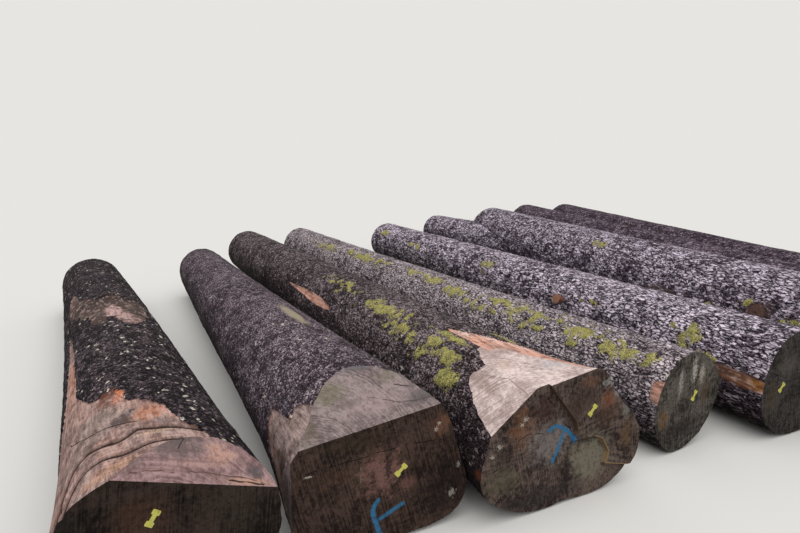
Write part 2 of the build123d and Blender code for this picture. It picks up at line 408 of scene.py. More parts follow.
def girth_radius(trunk, along, toward):
    """The radius over the bark at places along and directions round a trunk."""
    radius = trunk.butt_radius + (trunk.top_radius - trunk.butt_radius) * along / trunk.length
    radius = radius * (1 + trunk.oval * np.cos(2 * np.radians(toward - trunk.oval_toward)))
    for direction, height in trunk.flares:
        away = (toward - direction + 180) % 360 - 180
        radius = radius + height * np.exp(-((away / FLARE_SPREAD) ** 2) - along / FLARE_REACH)
    return radius


def axis_height(trunk, along):
    """How high the axis lies at places along a trunk whose underside is on the ground."""
    samples = np.linspace(-OVERRUN, trunk.length + OVERRUN, AXIS_SAMPLES)
    radii = girth_radius(trunk, samples[:, None], GIRTH_TURNS[None, :])
    rims = radii * np.sin(np.radians(GIRTH_TURNS))
    return np.interp(along, samples, -rims.min(axis=1))


def flank_point(trunk, along, toward):
    """The point on a log's bark at a place along and round it."""
    sideways = trunk.bow * math.sin(math.pi * min(max(along / trunk.length, 0), 1))
    height = float(axis_height(trunk, along))
    radius = float(girth_radius(trunk, along, toward))
    return around(toward, radius, along) + Vector((sideways, 0, height))


def vectors(items, key):
    """One row for each vertex or face of a mesh, with the vector that it holds under that key."""
    values = np.empty(len(items) * 3)
    items.foreach_get(key, values)
    return values.reshape(-1, 3)


def laid(trunk):
    """The matrix from a log's own frame to the row's, from the whole end of its CAD node."""
    turn = Matrix.Rotation(math.radians(trunk.heading), 4, "Z")
    points = vectors(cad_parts[trunk.name].data.vertices, "co")
    reach = points @ np.array(turn @ Vector((0, 1, 0)))
    end = reach.min() if trunk.whole_at_butt else reach.max()
    rim = np.unique(np.round(points[abs(reach - end) < AT_END], 4), axis=0)
    centre = Vector(rim.mean(axis=0))
    along = 0.0 if trunk.whole_at_butt else trunk.length
    radii = girth_radius(trunk, along, GIRTH_TURNS)
    sideways = float(np.mean(radii * np.cos(np.radians(GIRTH_TURNS))))
    place = centre - turn @ Vector((sideways, along, 0))
    return Matrix.Translation((place.x, place.y, 0)) @ turn


def ruffle(points, size, seed):
    """Smooth random values from -1 to 1 that change over about that size."""
    table = np.random.default_rng(seed).uniform(-1, 1, (RUFFLE_CELLS, RUFFLE_CELLS, RUFFLE_CELLS))
    cells = points / size
    base = np.floor(cells).astype(int)
    part = cells - base
    part = part * part * (3 - 2 * part)
    total = np.zeros(len(points))
    for corner in itertools.product((0, 1), repeat=3):
        where = (base + corner) % RUFFLE_CELLS
        weight = np.prod(np.where(np.array(corner) == 1, part, 1 - part), axis=1)
        total += weight * table[where[:, 0], where[:, 1], where[:, 2]]
    return total


def peel_field(trunk, along, toward, points):
    """Above 0 where the bark is gone, and how torn the wood is there."""
    field = np.full(len(along), -1.0)
    torn = np.zeros(len(along))
    for count, peel in enumerate(trunk.peels):
        turns, starts, ends = zip(*peel.edge)
        start = np.interp(toward, turns, starts, left=1.0, right=1.0)
        end = np.interp(toward, turns, ends, left=-1.0, right=-1.0)
        inside = np.minimum(along - start, end - along)
        for size, share, seed in PEEL_EDGE_NOISE:
            inside = inside + share * peel.ragged * ruffle(points, size, seed + count)
        value = np.clip(inside / PEEL_FADE, -1, 1)
        torn = np.where(value > field, peel.torn, torn)
        field = np.maximum(field, value)
    return field, torn


def moss_field(trunk, along, toward, points):
    """Above 0 where moss grows."""
    field = np.full(len(along), -1.0)
    arc = np.radians(toward) * trunk.butt_radius
    tufts = 0.6 * ruffle(points, TUFT_SIZES[0], 7) + 0.4 * ruffle(points, TUFT_SIZES[1], 8)
    for moss in trunk.mosses:
        offset = (arc - math.radians(moss.toward) * trunk.butt_radius) / moss.width
        reach = np.hypot((along - moss.along) / moss.length, offset)
        value = np.minimum(1 - reach, 0.45) + (1.6 - moss.thick) * tufts - 0.5 * (1 - moss.thick)
        field = np.maximum(field, np.clip(value, -1, 1))
    return field


def rounded(corners, times):
    """A path with its corners cut off, so that it runs in soft curves."""
    corners = np.array(corners, dtype=float)
    for _ in range(times):
        starts, ends = corners[:-1], corners[1:]
        cuts = np.stack((0.75 * starts + 0.25 * ends, 0.25 * starts + 0.75 * ends), axis=1)
        corners = np.vstack((corners[:1], cuts.reshape(-1, 2), corners[-1:]))
    return corners


def split_field(trunk, along, toward):
    """The distance from the nearest split: signed for its side, in split widths, and in metres."""
    signed = np.full(len(along), NO_SPLIT)
    near = np.full(len(along), SPLIT_SIGHT)
    arc = -np.radians(toward) * trunk.butt_radius
    for split in trunk.splits:
        places = [(-math.radians(turn) * trunk.butt_radius, reach) for reach, turn in split.places]
        corners = rounded(places, 2)
        for (arc_a, along_a), (arc_b, along_b) in zip(corners, corners[1:]):
            run = np.array((arc_b - arc_a, along_b - along_a))
            off = np.column_stack((arc - arc_a, along - along_a))
            share = np.clip(off @ run / (run @ run), 0, 1)
            away = np.hypot(*(off - share[:, None] * run).T)
            side = np.sign(off[:, 0] * run[1] - off[:, 1] * run[0])
            closer = away < near
            signed = np.where(closer, side * away / split.width, signed)
            near = np.where(closer, away, near)
    return signed, near


def pick(piece):
    """Makes one object the active one and the only one selected."""
    bpy.ops.object.select_all(action="DESELECT")
    piece.select_set(True)
    bpy.context.view_layer.objects.active = piece


class MakeLogs(bpy.types.Operator):
    """Model each log over its CAD node, with its relief, cuts and materials"""

    bl_idname = "sawlogs.make_logs"
    bl_label = "Logs"

    def execute(self, context):
        for trunk in TRUNKS:
            make_log(trunk, context.scene.bark_settings, context.scene.wood_settings)
        return {"FINISHED"}


def make_log(trunk, bark, wood):
    """One log with its cuts, laid in the row in place of its CAD node."""
    place = laid(trunk)
    piece = stem(trunk, bark, place)
    finish_log(piece, trunk, bark, wood, place)
    if trunk.name == FORKED:
        join_fork(piece, trunk, bark, wood, place)
    for knot in trunk.knots:
        join_knot(piece, trunk, knot, wood, place)
    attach(piece, "root")
    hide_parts(trunk.name)


def join_fork(piece, trunk, bark, wood, place):
    """The forked log's second stem, joined to the first."""
    reach = FORK_BACK + FORK_REACH
    leg = Trunk(
        "leg", reach, FORK_BUTT_SHARE * trunk.top_radius, FORK_TOP_SHARE * trunk.top_radius,
        heading=0, bow=0, oval=0.02, oval_toward=0, rounds=120, rings=100,
    )
    start = Matrix.Translation((-FORK_SHIFT, trunk.length - FORK_BACK, FORK_LIFT))
    leg_place = place @ start @ Matrix.Rotation(math.radians(FORK_TURN), 4, "Z")
    leg_piece = stem(leg, bark, leg_place)
    finish_log(leg_piece, leg, bark, wood, leg_place)
    join_to(piece, leg_piece)


def join_to(piece, other):
    """Makes another mesh part of the piece."""
    pick(piece)
    other.select_set(True)
    bpy.ops.object.join()


def store(mesh, fields):
    """Keeps values on a mesh's vertices for its materials."""
    for name, values in fields.items():
        layer = mesh.attributes.new(name, "FLOAT", "POINT")
        layer.data.foreach_set("value", values.astype(np.float32))


def join_knot(piece, trunk, knot, wood, place):
    """The sawn stub of a branch, with its collar of bark, joined to the log."""
    foot = flank_point(trunk, knot.along, knot.toward)
    out = around(knot.toward, 1.0)
    turn = out.to_track_quat("Z", "Y").to_matrix().to_4x4()
    lift = Matrix.Translation((0, 0, (knot.rise - KNOT_DEPTH) / 2))
    stub, cut_face = knot_stub(knot)
    mesh = stub.data
    mesh.transform(place @ Matrix.Translation(foot) @ turn @ lift)
    rough = ruffle(np.array([vertex.co for vertex in mesh.vertices]), KNOT_LUMPS, 5)
    for vertex, value in zip(mesh.vertices, rough):
        vertex.co += KNOT_ROUGHNESS * float(value) * (place.to_3x3() @ out)
    mesh.materials.append(piece.data.materials[BARK_SLOT])
    mesh.materials.append(knot_material(trunk, knot, wood, place @ foot))
    # The cone has two caps and its sides, and each inset adds as many faces as it has sides
    inner_from = 2 + 2 * KNOT_SIDES
    for face in mesh.polygons:
        face.material_index = int(face.index == cut_face or face.index >= inner_from)
    plain = dict(peeled=-1.0, torn=0.0, moss=-1.0, split=NO_SPLIT, split_near=SPLIT_SIGHT)
    store(mesh, {name: np.full(len(mesh.vertices), value) for name, value in plain.items()})
    join_to(piece, stub)


def knot_stub(knot):
    """A short cone with two steps inset in its cut, and the number of the cut's own face."""
    radius = knot.radius * KNOT_SWELL
    bpy.ops.object.select_all(action="DESELECT")
    bpy.ops.mesh.primitive_cone_add(
        vertices=KNOT_SIDES, radius1=KNOT_SPREAD * radius, radius2=radius,
        depth=knot.rise + KNOT_DEPTH, end_fill_type="NGON",
    )
    stub = bpy.context.object
    bpy.ops.object.mode_set(mode="EDIT")
    bpy.context.tool_settings.mesh_select_mode = (False, False, True)
    bpy.ops.mesh.select_all(action="DESELECT")
    bpy.ops.object.mode_set(mode="OBJECT")
    top = max(stub.data.polygons, key=lambda face: face.center.z)
    top.select = True
    cut_face = top.index
    bpy.ops.object.mode_set(mode="EDIT")
    for share, depth in KNOT_STEPS:
        bpy.ops.mesh.inset(thickness=share * radius, depth=depth)
    bpy.ops.object.mode_set(mode="OBJECT")
    return stub, cut_face


def stem(trunk, bark, place):
    """A tube through the trunk's girths, longer than the log, with its bark's relief."""
    bpy.ops.object.select_all(action="DESELECT")
    bpy.ops.mesh.primitive_circle_add(vertices=trunk.rounds, radius=1,
                                      rotation=(math.radians(90), 0, 0))
    piece = bpy.context.object
    piece.name = trunk.name + "_wood"
    bpy.ops.object.transform_apply(rotation=True)
    screw = piece.modifiers.new("Lengthen", "SCREW")
    screw.axis = "Y"
    screw.angle = 0
    screw.screw_offset = 1
    screw.steps = screw.render_steps = trunk.rings
    screw.use_merge_vertices = False
    bpy.ops.object.modifier_apply(modifier=screw.name)
    shape_stem(piece.data, trunk, bark, place)
    return piece


def shape_stem(mesh, trunk, bark, place):
    """Moves the tube's vertices to the trunk's surface and stores where it is peeled and mossy."""
    points = vectors(mesh.vertices, "co")
    share = abs(points[:, 1])
    along = NEAR_SHARE * share + (1 - NEAR_SHARE) * share ** 2
    along = along * (trunk.length + 2 * OVERRUN) - OVERRUN
    toward = np.degrees(np.arctan2(points[:, 2], points[:, 0])) % 360
    angle = np.radians(toward)
    radius = girth_radius(trunk, along, toward)
    height = axis_height(trunk, along)
    sideways = trunk.bow * np.sin(math.pi * np.clip(along / trunk.length, 0, 1))
    right, up = radius * np.cos(angle), radius * np.sin(angle)
    skin = np.column_stack((sideways + right, along, height + up))
    peeled, torn = peel_field(trunk, along, toward, skin)
    split, split_near = split_field(trunk, along, toward)
    moss = moss_field(trunk, along, toward, skin)
    fields = dict(peeled=peeled, torn=torn, moss=moss, split=split, split_near=split_near)
    radius = radius - relief(trunk, bark, skin, fields)
    x = sideways + radius * np.cos(angle)
    z = np.maximum(height + radius * np.sin(angle), OFF_GROUND)
    world = np.column_stack((x, along, z)) @ np.array(place.to_3x3()).T
    world = world + np.array(place.translation)
    mesh.vertices.foreach_set("co", world.ravel())
    store(mesh, fields)
    mesh.update()


def relief(trunk, bark, skin, fields):
    """How far the surface lies inside the trunk's girth: in bark, wood, moss and splits."""
    stretched = skin * DRAWN_OUT
    seed = len(trunk.name) + int(trunk.length * 10) + int(trunk.butt_radius * 1000)
    lumps = 0.5 * ruffle(stretched, LUMP_SIZES[0], seed)
    lumps = lumps + 0.5 * ruffle(stretched, LUMP_SIZES[1], seed + 1)
    ridges = 0.6 * ruffle(stretched, RIDGE_SIZES[0], seed + 2)
    ridges = ridges + 0.4 * ruffle(skin, RIDGE_SIZES[1], seed + 3)
    bare = np.clip(fields["peeled"] / 0.15 + 0.5, 0, 1)
    grown = np.clip(fields["moss"] * 2.5, 0, 1) * (1 - bare)
    in_bark = bark.lump_depth * (1 - lumps) / 2 + bark.ridge_depth * (1 - ridges) / 2
    in_wood = WOOD_LUMPS * bark.lump_depth * (1 - lumps) / 2
    in_wood = in_wood + fields["torn"] * TORN_DEPTH * (1 - ridges) / 2
    depth = in_bark * (1 - bare) + (bark.thickness + in_wood) * bare
    depth = depth * (1 - 0.8 * grown) - MOSS_RISE * grown * (0.5 + 0.5 * ridges)
    return depth + SPLIT_DEPTH * np.exp(-((fields["split_near"] / SPLIT_REACH) ** 2)) * bare


def cut_planes(trunk):
    """Each cut of a log in its own frame: a point, the outward normal and the slot of its face."""
    middle = Vector((0, 0, float(axis_height(trunk, 0.0))))
    cuts = [
        (middle, Vector((0, -1, 0)), BUTT_SLOT),
        (Vector((0, trunk.length, 0)), Vector((0, 1, 0)), TOP_SLOT),
    ]
    for toward, offset, slope in trunk.bevels:
        lean = math.radians(slope)
        normal = around(toward, math.cos(lean)) - Vector((0, math.sin(lean), 0))
        cuts.append((middle + around(toward, offset), normal, BEVEL_SLOT))
    return cuts


def finish_log(piece, trunk, bark, wood, place):
    """Cuts a stem to its sawn faces, gives each face its material and shades it."""
    turn = place.to_3x3()
    cuts = [
        (place @ point, (turn @ normal).normalized(), slot)
        for point, normal, slot in cut_planes(trunk)
    ]
    pick(piece)
    bpy.ops.object.mode_set(mode="EDIT")
    for point, normal, _ in cuts:
        bpy.ops.mesh.select_all(action="SELECT")
        bpy.ops.mesh.bisect(plane_co=point, plane_no=normal, use_fill=True, clear_outer=True)
    bpy.ops.mesh.select_all(action="SELECT")
    bpy.ops.mesh.normals_make_consistent(inside=False)
    bpy.ops.object.mode_set(mode="OBJECT")
    if trunk.name == STEPPED:
        cut_step(piece, trunk, place)
    piece.data.materials.append(bark_material(trunk, bark, wood, place))
    for slot in (BUTT_SLOT, BEVEL_SLOT, TOP_SLOT):
        piece.data.materials.append(face_material(trunk, place, slot))
    sort_faces(piece, trunk, cuts, place)


def sort_faces(piece, trunk, cuts, place):
    """Gives the sawn faces their slots, keeps them flat and makes their rims sharp."""
    mesh = piece.data
    centres = vectors(mesh.polygons, "center")
    normals = vectors(mesh.polygons, "normal")
    slots = np.zeros(len(mesh.polygons), dtype=np.int32)
    for point, normal, slot in cuts:
        away = (centres - np.array(point)) @ np.array(normal)
        facing = normals @ np.array(normal)
        slots[(abs(away) < ON_PLANE) & (facing > FACING)] = slot
    if trunk.name == STEPPED:
        stepped = step_faces(trunk, cuts[0], place, centres, normals)
        slots[stepped & (slots == BARK_SLOT)] = BUTT_SLOT
    mesh.polygons.foreach_set("material_index", slots)
    mesh.polygons.foreach_set("use_smooth", slots == BARK_SLOT)
    mesh.polygons.foreach_set("select", slots != BARK_SLOT)
    bpy.context.tool_settings.mesh_select_mode = (False, False, True)
    bpy.ops.object.mode_set(mode="EDIT")
    bpy.ops.mesh.region_to_loop()
    bpy.ops.mesh.mark_sharp()
    bpy.ops.object.mode_set(mode="OBJECT")


def step_faces(trunk, butt_cut, place, centres, normals):
    """Which faces are the part of the butt that is set back, or its step's wall inside the bark."""
    point, normal, _ = butt_cut
    away = (centres - np.array(point)) @ np.array(normal)
    facing = normals @ np.array(normal)
    sunk = (away < 0) & (away > -STEP_DEPTH - ON_PLANE)
    wall = sunk & (abs(facing) < SIDEWAYS)
    local = (centres - np.array(place.translation)) @ np.array(place.to_3x3())
    right, up = local[:, 0], local[:, 2] - float(axis_height(trunk, 0.0))
    bark_line = girth_radius(trunk, 0.0, np.degrees(np.arctan2(up, right)) % 360)
    return (sunk & (facing > FACING)) | (wall & (np.hypot(right, up) < bark_line - BARK_REACH))


def cut_step(piece, trunk, place):
    """Sets back the part of the third butt that lies left of and below its step line."""
    height = float(axis_height(trunk, 0.0))
    corners = [(x, z + height) for x, z in STEP_LINE] + list(STEP_OUTER)
    bpy.ops.object.select_all(action="DESELECT")
    bpy.ops.mesh.primitive_circle_add(vertices=len(corners), radius=1, fill_type="NGON")
    cutter = bpy.context.object
    for vertex, (x, z) in zip(cutter.data.vertices, corners):
        vertex.co = place @ Vector((x, -STEP_FRONT, z))
    bpy.ops.object.mode_set(mode="EDIT")
    bpy.ops.mesh.select_all(action="SELECT")
    depth = place.to_3x3() @ Vector((0, STEP_FRONT + STEP_DEPTH, 0))
    bpy.ops.mesh.extrude_region_move(TRANSFORM_OT_translate={"value": depth})
    bpy.ops.mesh.select_all(action="SELECT")
    bpy.ops.mesh.normals_make_consistent(inside=False)
    bpy.ops.object.mode_set(mode="OBJECT")
    bpy.context.view_layer.objects.active = piece
    step = piece.modifiers.new("Step", "BOOLEAN")
    step.operation = "DIFFERENCE"
    step.object = cutter
    step.solver = "EXACT"
    bpy.ops.object.modifier_apply(modifier=step.name)
    bpy.data.objects.remove(cutter)


class Net:
    """Short calls to place and join nodes in one node tree."""

    def __init__(self, tree):
        self.tree = tree

    def add(self, kind, inputs=None, **settings):
        """A node with those inputs and settings."""
        node = self.tree.nodes.new(kind)
        for name, value in settings.items():
            setattr(node, name, value)
        self.join(node, inputs or {})
        return node

    def join(self, node, inputs):
        """Sets a node's inputs to values, or joins them to sockets."""
        for key, value in inputs.items():
            if isinstance(value, bpy.types.NodeSocket):
                self.tree.links.new(value, node.inputs[key])
            else:
                node.inputs[key].default_value = value

    def maths(self, operation, *values, clamp=False):
        node = self.add("ShaderNodeMath", dict(enumerate(values)), operation=operation,
                        use_clamp=clamp)
        return node.outputs[0]

    def times(self, first, second):
        return self.maths("MULTIPLY", first, second)

    def total(self, first, *others):
        """The sum of some values."""
        for other in others:
            first = self.maths("ADD", first, other)
        return first

    def swing(self, value, size):
        """A value about a half, turned into one about 0 and of that size."""
        return self.times(self.maths("SUBTRACT", value, 0.5), size)

    def vector(self, operation, *values):
        node = self.add("ShaderNodeVectorMath", dict(enumerate(values)), operation=operation)
        return node.outputs["Value" if operation in ("LENGTH", "DOT_PRODUCT") else "Vector"]

    def scaled(self, vector, size):
        """A vector times a value."""
        node = self.add("ShaderNodeVectorMath", {0: vector, "Scale": size}, operation="SCALE")
        return node.outputs[0]

    def row(self, value):
        """A vector that moves along one line with the value."""
        return self.add("ShaderNodeCombineXYZ", {0: value}).outputs[0]

    def ranged(self, value, low, high, start=0.0, end=1.0):
        """value from low to high turned smoothly into start to end."""
        inputs = {0: value, 1: low, 2: high, 3: start, 4: end}
        return self.add("ShaderNodeMapRange", inputs, interpolation_type="SMOOTHSTEP").outputs[0]

    def mix(self, share, first, second):
        """One colour laid over another."""
        inputs = {0: share}
        for key, colour in ((6, first), (7, second)):
            inputs[key] = colour if isinstance(colour, bpy.types.NodeSocket) else (*colour, 1.0)
        return self.add("ShaderNodeMix", inputs, data_type="RGBA").outputs[2]

    def blend(self, share, first, second):
        """One value faded into another."""
        return self.add("ShaderNodeMix", {0: share, 2: first, 3: second},
                        data_type="FLOAT").outputs[0]

    def noise(self, vector, scale, detail=3.0, rough=0.55):
        inputs = {"Vector": vector, "Scale": scale, "Detail": detail, "Roughness": rough}
        return self.add("ShaderNodeTexNoise", inputs).outputs[0]

    def streaks(self, vector, along, scale, detail=3.0, rough=0.55):
        """Noise whose grains are drawn out along the log."""
        return self.noise(self.vector("MULTIPLY", vector, (1.0, along, 1.0)), scale, detail, rough)

    def wobble(self, vector, scale, detail, size):
        """A shift in every direction by a noise, up to half of size."""
        noise = self.add("ShaderNodeTexNoise", {"Vector": vector, "Scale": scale, "Detail": detail})
        return self.scaled(self.vector("SUBTRACT", noise.outputs["Color"], (0.5, 0.5, 0.5)), size)


def new_group(name, inputs, outputs):
    """An empty shader node group with those sockets, its net and its input node."""
    group = bpy.data.node_groups.new(name, "ShaderNodeTree")
    for socket, kind, value in inputs:
        made = group.interface.new_socket(name=socket, in_out="INPUT", socket_type=kind)
        made.default_value = value
    for socket, kind in outputs:
        group.interface.new_socket(name=socket, in_out="OUTPUT", socket_type=kind)
    net = Net(group)
    return group, net, net.add("NodeGroupInput").outputs


def close_group(net, values):
    """Joins the group's results to its outputs."""
    net.add("NodeGroupOutput", values)


def flakes_group():
    """Bark plates: a random tone for each, how far they stand out, and fine roughness."""
    if "bark_plates" in bpy.data.node_groups:
        return bpy.data.node_groups["bark_plates"]
    group, net, given = new_group(
        "bark_plates",
        (("Vector", VECTOR, (0, 0, 0)), ("Size", VALUE, 0.02), ("Stretch", VALUE, 1.6)),
        (("Tone", VALUE), ("Height", VALUE), ("Fine", VALUE)),
    )
    fineness = net.maths("DIVIDE", 1.0, given["Size"])
    lengthwise = net.maths("DIVIDE", fineness, given["Stretch"])
    scale = net.add("ShaderNodeCombineXYZ", {0: fineness, 1: lengthwise, 2: fineness}).outputs[0]
    cells = net.vector("MULTIPLY", given["Vector"], scale)
    for fine, sway in PLATE_SWAYS:
        cells = net.vector("ADD", cells, net.wobble(cells, fine, 2.0, sway))
    edge = net.add("ShaderNodeTexVoronoi", {"Vector": cells, "Scale": 1.0},
                   feature="DISTANCE_TO_EDGE")
    tone = net.add("ShaderNodeTexVoronoi", {"Vector": cells, "Scale": 1.0}, feature="F1")
    tone = net.add("ShaderNodeSeparateColor", {0: tone.outputs["Color"]}).outputs[0]
    fine = net.noise(cells, 1.7, 4.0, 0.68)
    reach = net.total(edge.outputs["Distance"], net.swing(fine, 0.5))
    close_group(net, {0: tone, 1: net.ranged(reach, 0.0, 0.26), 2: fine})
    return group


def spot_group():
    """A stain with ragged edges about one centre."""
    if "stain" in bpy.data.node_groups:
        return bpy.data.node_groups["stain"]
    group, net, given = new_group(
        "stain",
        (("Vector", VECTOR, (0, 0, 0)), ("Centre", VECTOR, (0, 0, 0)),
         ("Spread", VECTOR, (0.1, 0.1, 0.1)), ("Ragged", VALUE, 0.4), ("Soft", VALUE, 0.4),
         ("Fineness", VALUE, 28.0)),
        (("Mask", VALUE),),
    )
    away = net.vector("SUBTRACT", given["Vector"], given["Centre"])
    away = net.vector("DIVIDE", away, given["Spread"])
    rough = net.swing(net.noise(given["Vector"], given["Fineness"], 5.0, 0.65), 3.0)
    reach = net.total(net.vector("LENGTH", away), net.times(rough, given["Ragged"]))
    inner = net.maths("SUBTRACT", 1.0, given["Soft"])
    close_group(net, {0: net.ranged(reach, inner, 1.0, 1.0, 0.0)})
    return group


def stroke_group():
    """A line from one point to another, as of a crack or of sprayed paint."""
    if "stroke" in bpy.data.node_groups:
        return bpy.data.node_groups["stroke"]
    group, net, given = new_group(
        "stroke",
        (("Vector", VECTOR, (0, 0, 0)), ("Start", VECTOR, (0, 0, 0)), ("End", VECTOR, (0.1, 0, 0)),
         ("Width", VALUE, 0.01), ("Waver", VALUE, 0.01), ("Soft", VALUE, 0.4)),
        (("Mask", VALUE),),
    )
    place = net.vector("ADD", given["Vector"],
                       net.wobble(given["Vector"], 14.0, 4.0, given["Waver"]))
    run = net.vector("SUBTRACT", given["End"], given["Start"])
    offset = net.vector("SUBTRACT", place, given["Start"])
    length = net.vector("DOT_PRODUCT", run, run)
    share = net.maths("DIVIDE", net.vector("DOT_PRODUCT", offset, run), length, clamp=True)
    away = net.vector("LENGTH", net.vector("SUBTRACT", offset, net.scaled(run, share)))
    reach = net.maths("DIVIDE", away, given["Width"])
    inner = net.maths("SUBTRACT", 1.0, given["Soft"])
    close_group(net, {0: net.ranged(reach, inner, 1.0, 1.0, 0.0)})
    return group


def end_grain_group():
    """A sawn end: the saw's marks, the growth rings, and pale rays out from the pith."""
    if "end_grain" in bpy.data.node_groups:
        return bpy.data.node_groups["end_grain"]
    group, net, given = new_group(
        "end_grain",
        (("Vector", VECTOR, (0, 0, 0)), ("Pith", VECTOR, (0, 0, 0)), ("Saw Turn", VALUE, 0.0)),
        (("Saw", VALUE), ("Rings", VALUE), ("Rays", VALUE)),
    )
    turn = {"Vector": given["Vector"], "Angle": given["Saw Turn"]}
    turned = net.add("ShaderNodeVectorRotate", turn, rotation_type="Y_AXIS").outputs[0]
    saw = net.noise(net.vector("MULTIPLY", turned, SAW_MARKS), 1.0, 3.0, 0.6)
    arm = net.vector("SUBTRACT", given["Vector"], given["Pith"])
    reach = net.total(net.vector("LENGTH", arm),
                      net.swing(net.noise(given["Vector"], 9.0, 3.0), 0.05))
    rings = net.noise(net.row(net.times(reach, RINGS_A_METRE)), 1.0, 2.0)
    rays = net.scaled(net.vector("NORMALIZE", arm), 16.0)
    rays = net.vector("ADD", rays, net.scaled(given["Vector"], 9.0))
    close_group(net, {0: saw, 1: rings, 2: net.noise(rays, 1.0, 4.0, 0.6)})
    return group


def log_vector(net, place):
    """The place on a piece in its log's own frame."""
    back = place.inverted()
    coordinates = net.add("ShaderNodeTexCoord").outputs["Object"]
    inputs = {"Vector": coordinates, "Location": back.to_translation(), "Rotation": back.to_euler()}
    return net.add("ShaderNodeMapping", inputs).outputs["Vector"]


def attribute(net, name):
    """A value stored on the mesh."""
    return net.add("ShaderNodeAttribute", attribute_name=name).outputs["Fac"]


def stained(net, colour, where, centre, spread, stain, share, ragged=0.4, soft=0.5):
    """The colour with one more stain on it; some stains are painted shade."""
    fineness = min(max(EDGE_FINENESS / min(spread), COARSEST), FINEST)
    inputs = {"Vector": where, "Centre": centre, "Spread": spread, "Ragged": ragged, "Soft": soft}
    inputs["Fineness"] = fineness
    mask = net.add("ShaderNodeGroup", inputs, node_tree=spot_group()).outputs[0]
    return net.mix(net.times(mask, share), colour, stain)


def spotted(net, colour, where, trunk, spot):
    """The colour with one spot of the log's flank on it."""
    centre = flank_point(trunk, spot.along, spot.toward)
    spread = (spot.width, spot.length, spot.width)
    return stained(net, colour, where, centre, spread, spot.colour, spot.share, spot.ragged)


def new_material(name):
    """An empty material's net and its shader."""
    material = bpy.data.materials.new(name)
    material.use_nodes = True
    return material, Net(material.node_tree), material.node_tree.nodes["Principled BSDF"]


def finish_shader(net, shader, colour, rough, height, strength, distance):
    """Joins a material's colour, roughness and height to its shader."""
    bump = net.add("ShaderNodeBump", {"Height": height, "Strength": strength, "Distance": distance})
    net.join(shader, {"Base Color": colour, "Roughness": rough, "Normal": bump.outputs[0],
                      "Specular IOR Level": WOOD_SHINE})


@dataclass(frozen=True)
class BarkTone:
    """The bark of one log: its cracks, its plates from dull to light, and how large they are."""

    gap: tuple
    dull: tuple
    light: tuple
    size: float
    stretch: float
    lightness: float
    lichen: float = 0.0
    clumped: float = 0.9


BARK_TONES = {
    "log_1": BarkTone(shade(14, 11, 13), shade(46, 36, 43), shade(120, 106, 111),
                      0.018, 1.4, -0.05, 0.8, 0.6),
    "log_2": BarkTone(shade(30, 22, 26), shade(82, 67, 76), shade(184, 166, 176),
                      0.012, 1.5, 0.0, 0.14, 0.5),
    "log_3": BarkTone(shade(18, 11, 13), shade(66, 53, 58), shade(174, 157, 160),
                      0.013, 1.6, -0.01, 0.12, 0.6),
    "log_4": BarkTone(shade(30, 22, 27), shade(108, 94, 103), shade(220, 205, 210),
                      0.015, 2.1, 0.15, 0.09),
    "log_5": BarkTone(shade(18, 12, 16), shade(100, 85, 98), shade(242, 226, 242),
                      0.017, 2.5, 0.08),
    "log_6": BarkTone(shade(26, 18, 24), shade(108, 93, 107), shade(230, 215, 232),
                      0.019, 2.4, 0.06),
    "log_7": BarkTone(shade(30, 21, 27), shade(86, 71, 83), shade(162, 144, 158),
                      0.019, 2.3, -0.03),
    "log_8": BarkTone(shade(28, 19, 25), shade(82, 67, 79), shade(152, 134, 148),
                      0.019, 2.3, -0.03),
}
BARK_TONES["leg"] = BARK_TONES[FORKED]


def bark_cover(net, where, trunk, bark):
    """Bark plates with lichen, spots and moss, painted light on top, painted shade and damp low
    down: their colour, height and fine roughness.
    """
    tone = BARK_TONES[trunk.name]
    given = {"Vector": where, "Size": tone.size, "Stretch": tone.stretch}
    plates = net.add("ShaderNodeGroup", given, node_tree=flakes_group()).outputs
    fine = plates["Fine"]
    axis = float(axis_height(trunk, trunk.length / 2))
    rise = net.maths("DIVIDE", net.add("ShaderNodeSeparateXYZ", {0: where}).outputs[2], axis)
    clumps = net.swing(net.streaks(where, 0.6, 19.0, 4.0, 0.7), 1.0)
    light = net.total(
        net.times(plates["Tone"], 0.34),
        fine,
        net.swing(net.noise(where, 2.6, 4.0, 0.6), 0.6),
        net.times(clumps, tone.clumped),
        # Painted light: the bark is lighter on the log's upper side and darker lower down, as if
        # lit from above
        net.ranged(rise, 0.6, 1.9, -0.12, 0.06),
    )
    lit = net.ranged(light, 0.56 - tone.lightness, 0.92 - tone.lightness)
    colour = net.mix(lit, tone.dull, tone.light)
    brown = net.ranged(net.noise(where, 11.0, 3.0), 0.5, 0.7, 0.0, 0.3)
    colour = net.mix(brown, colour, bark.under_bark)
    shown = net.times(plates["Height"], net.ranged(fine, 0.32, 0.5, 0.45, 1.0))
    shown = net.times(shown, net.ranged(clumps, -0.16, 0.06, 0.55, 1.0))
    colour = net.mix(shown, tone.gap, colour)
    if tone.lichen:
        colour = net.mix(lichen_flecks(net, where, tone.lichen), colour, bark.lichen)
    for spot in trunk.spots:
        if spot.on_bark:
            colour = spotted(net, colour, where, trunk, spot)
    # Bark darker towards the ground: partly damp, partly painted shade
    colour = net.mix(net.ranged(rise, 0.0, 1.35, bark.damp_and_shade, 0.0), colour, DAMP_AND_SHADED_BARK)
    height = net.total(net.times(plates["Height"], 0.6), net.times(fine, 0.7))
    colour, height = mossy(net, where, bark, colour, height)
    return colour, height, fine


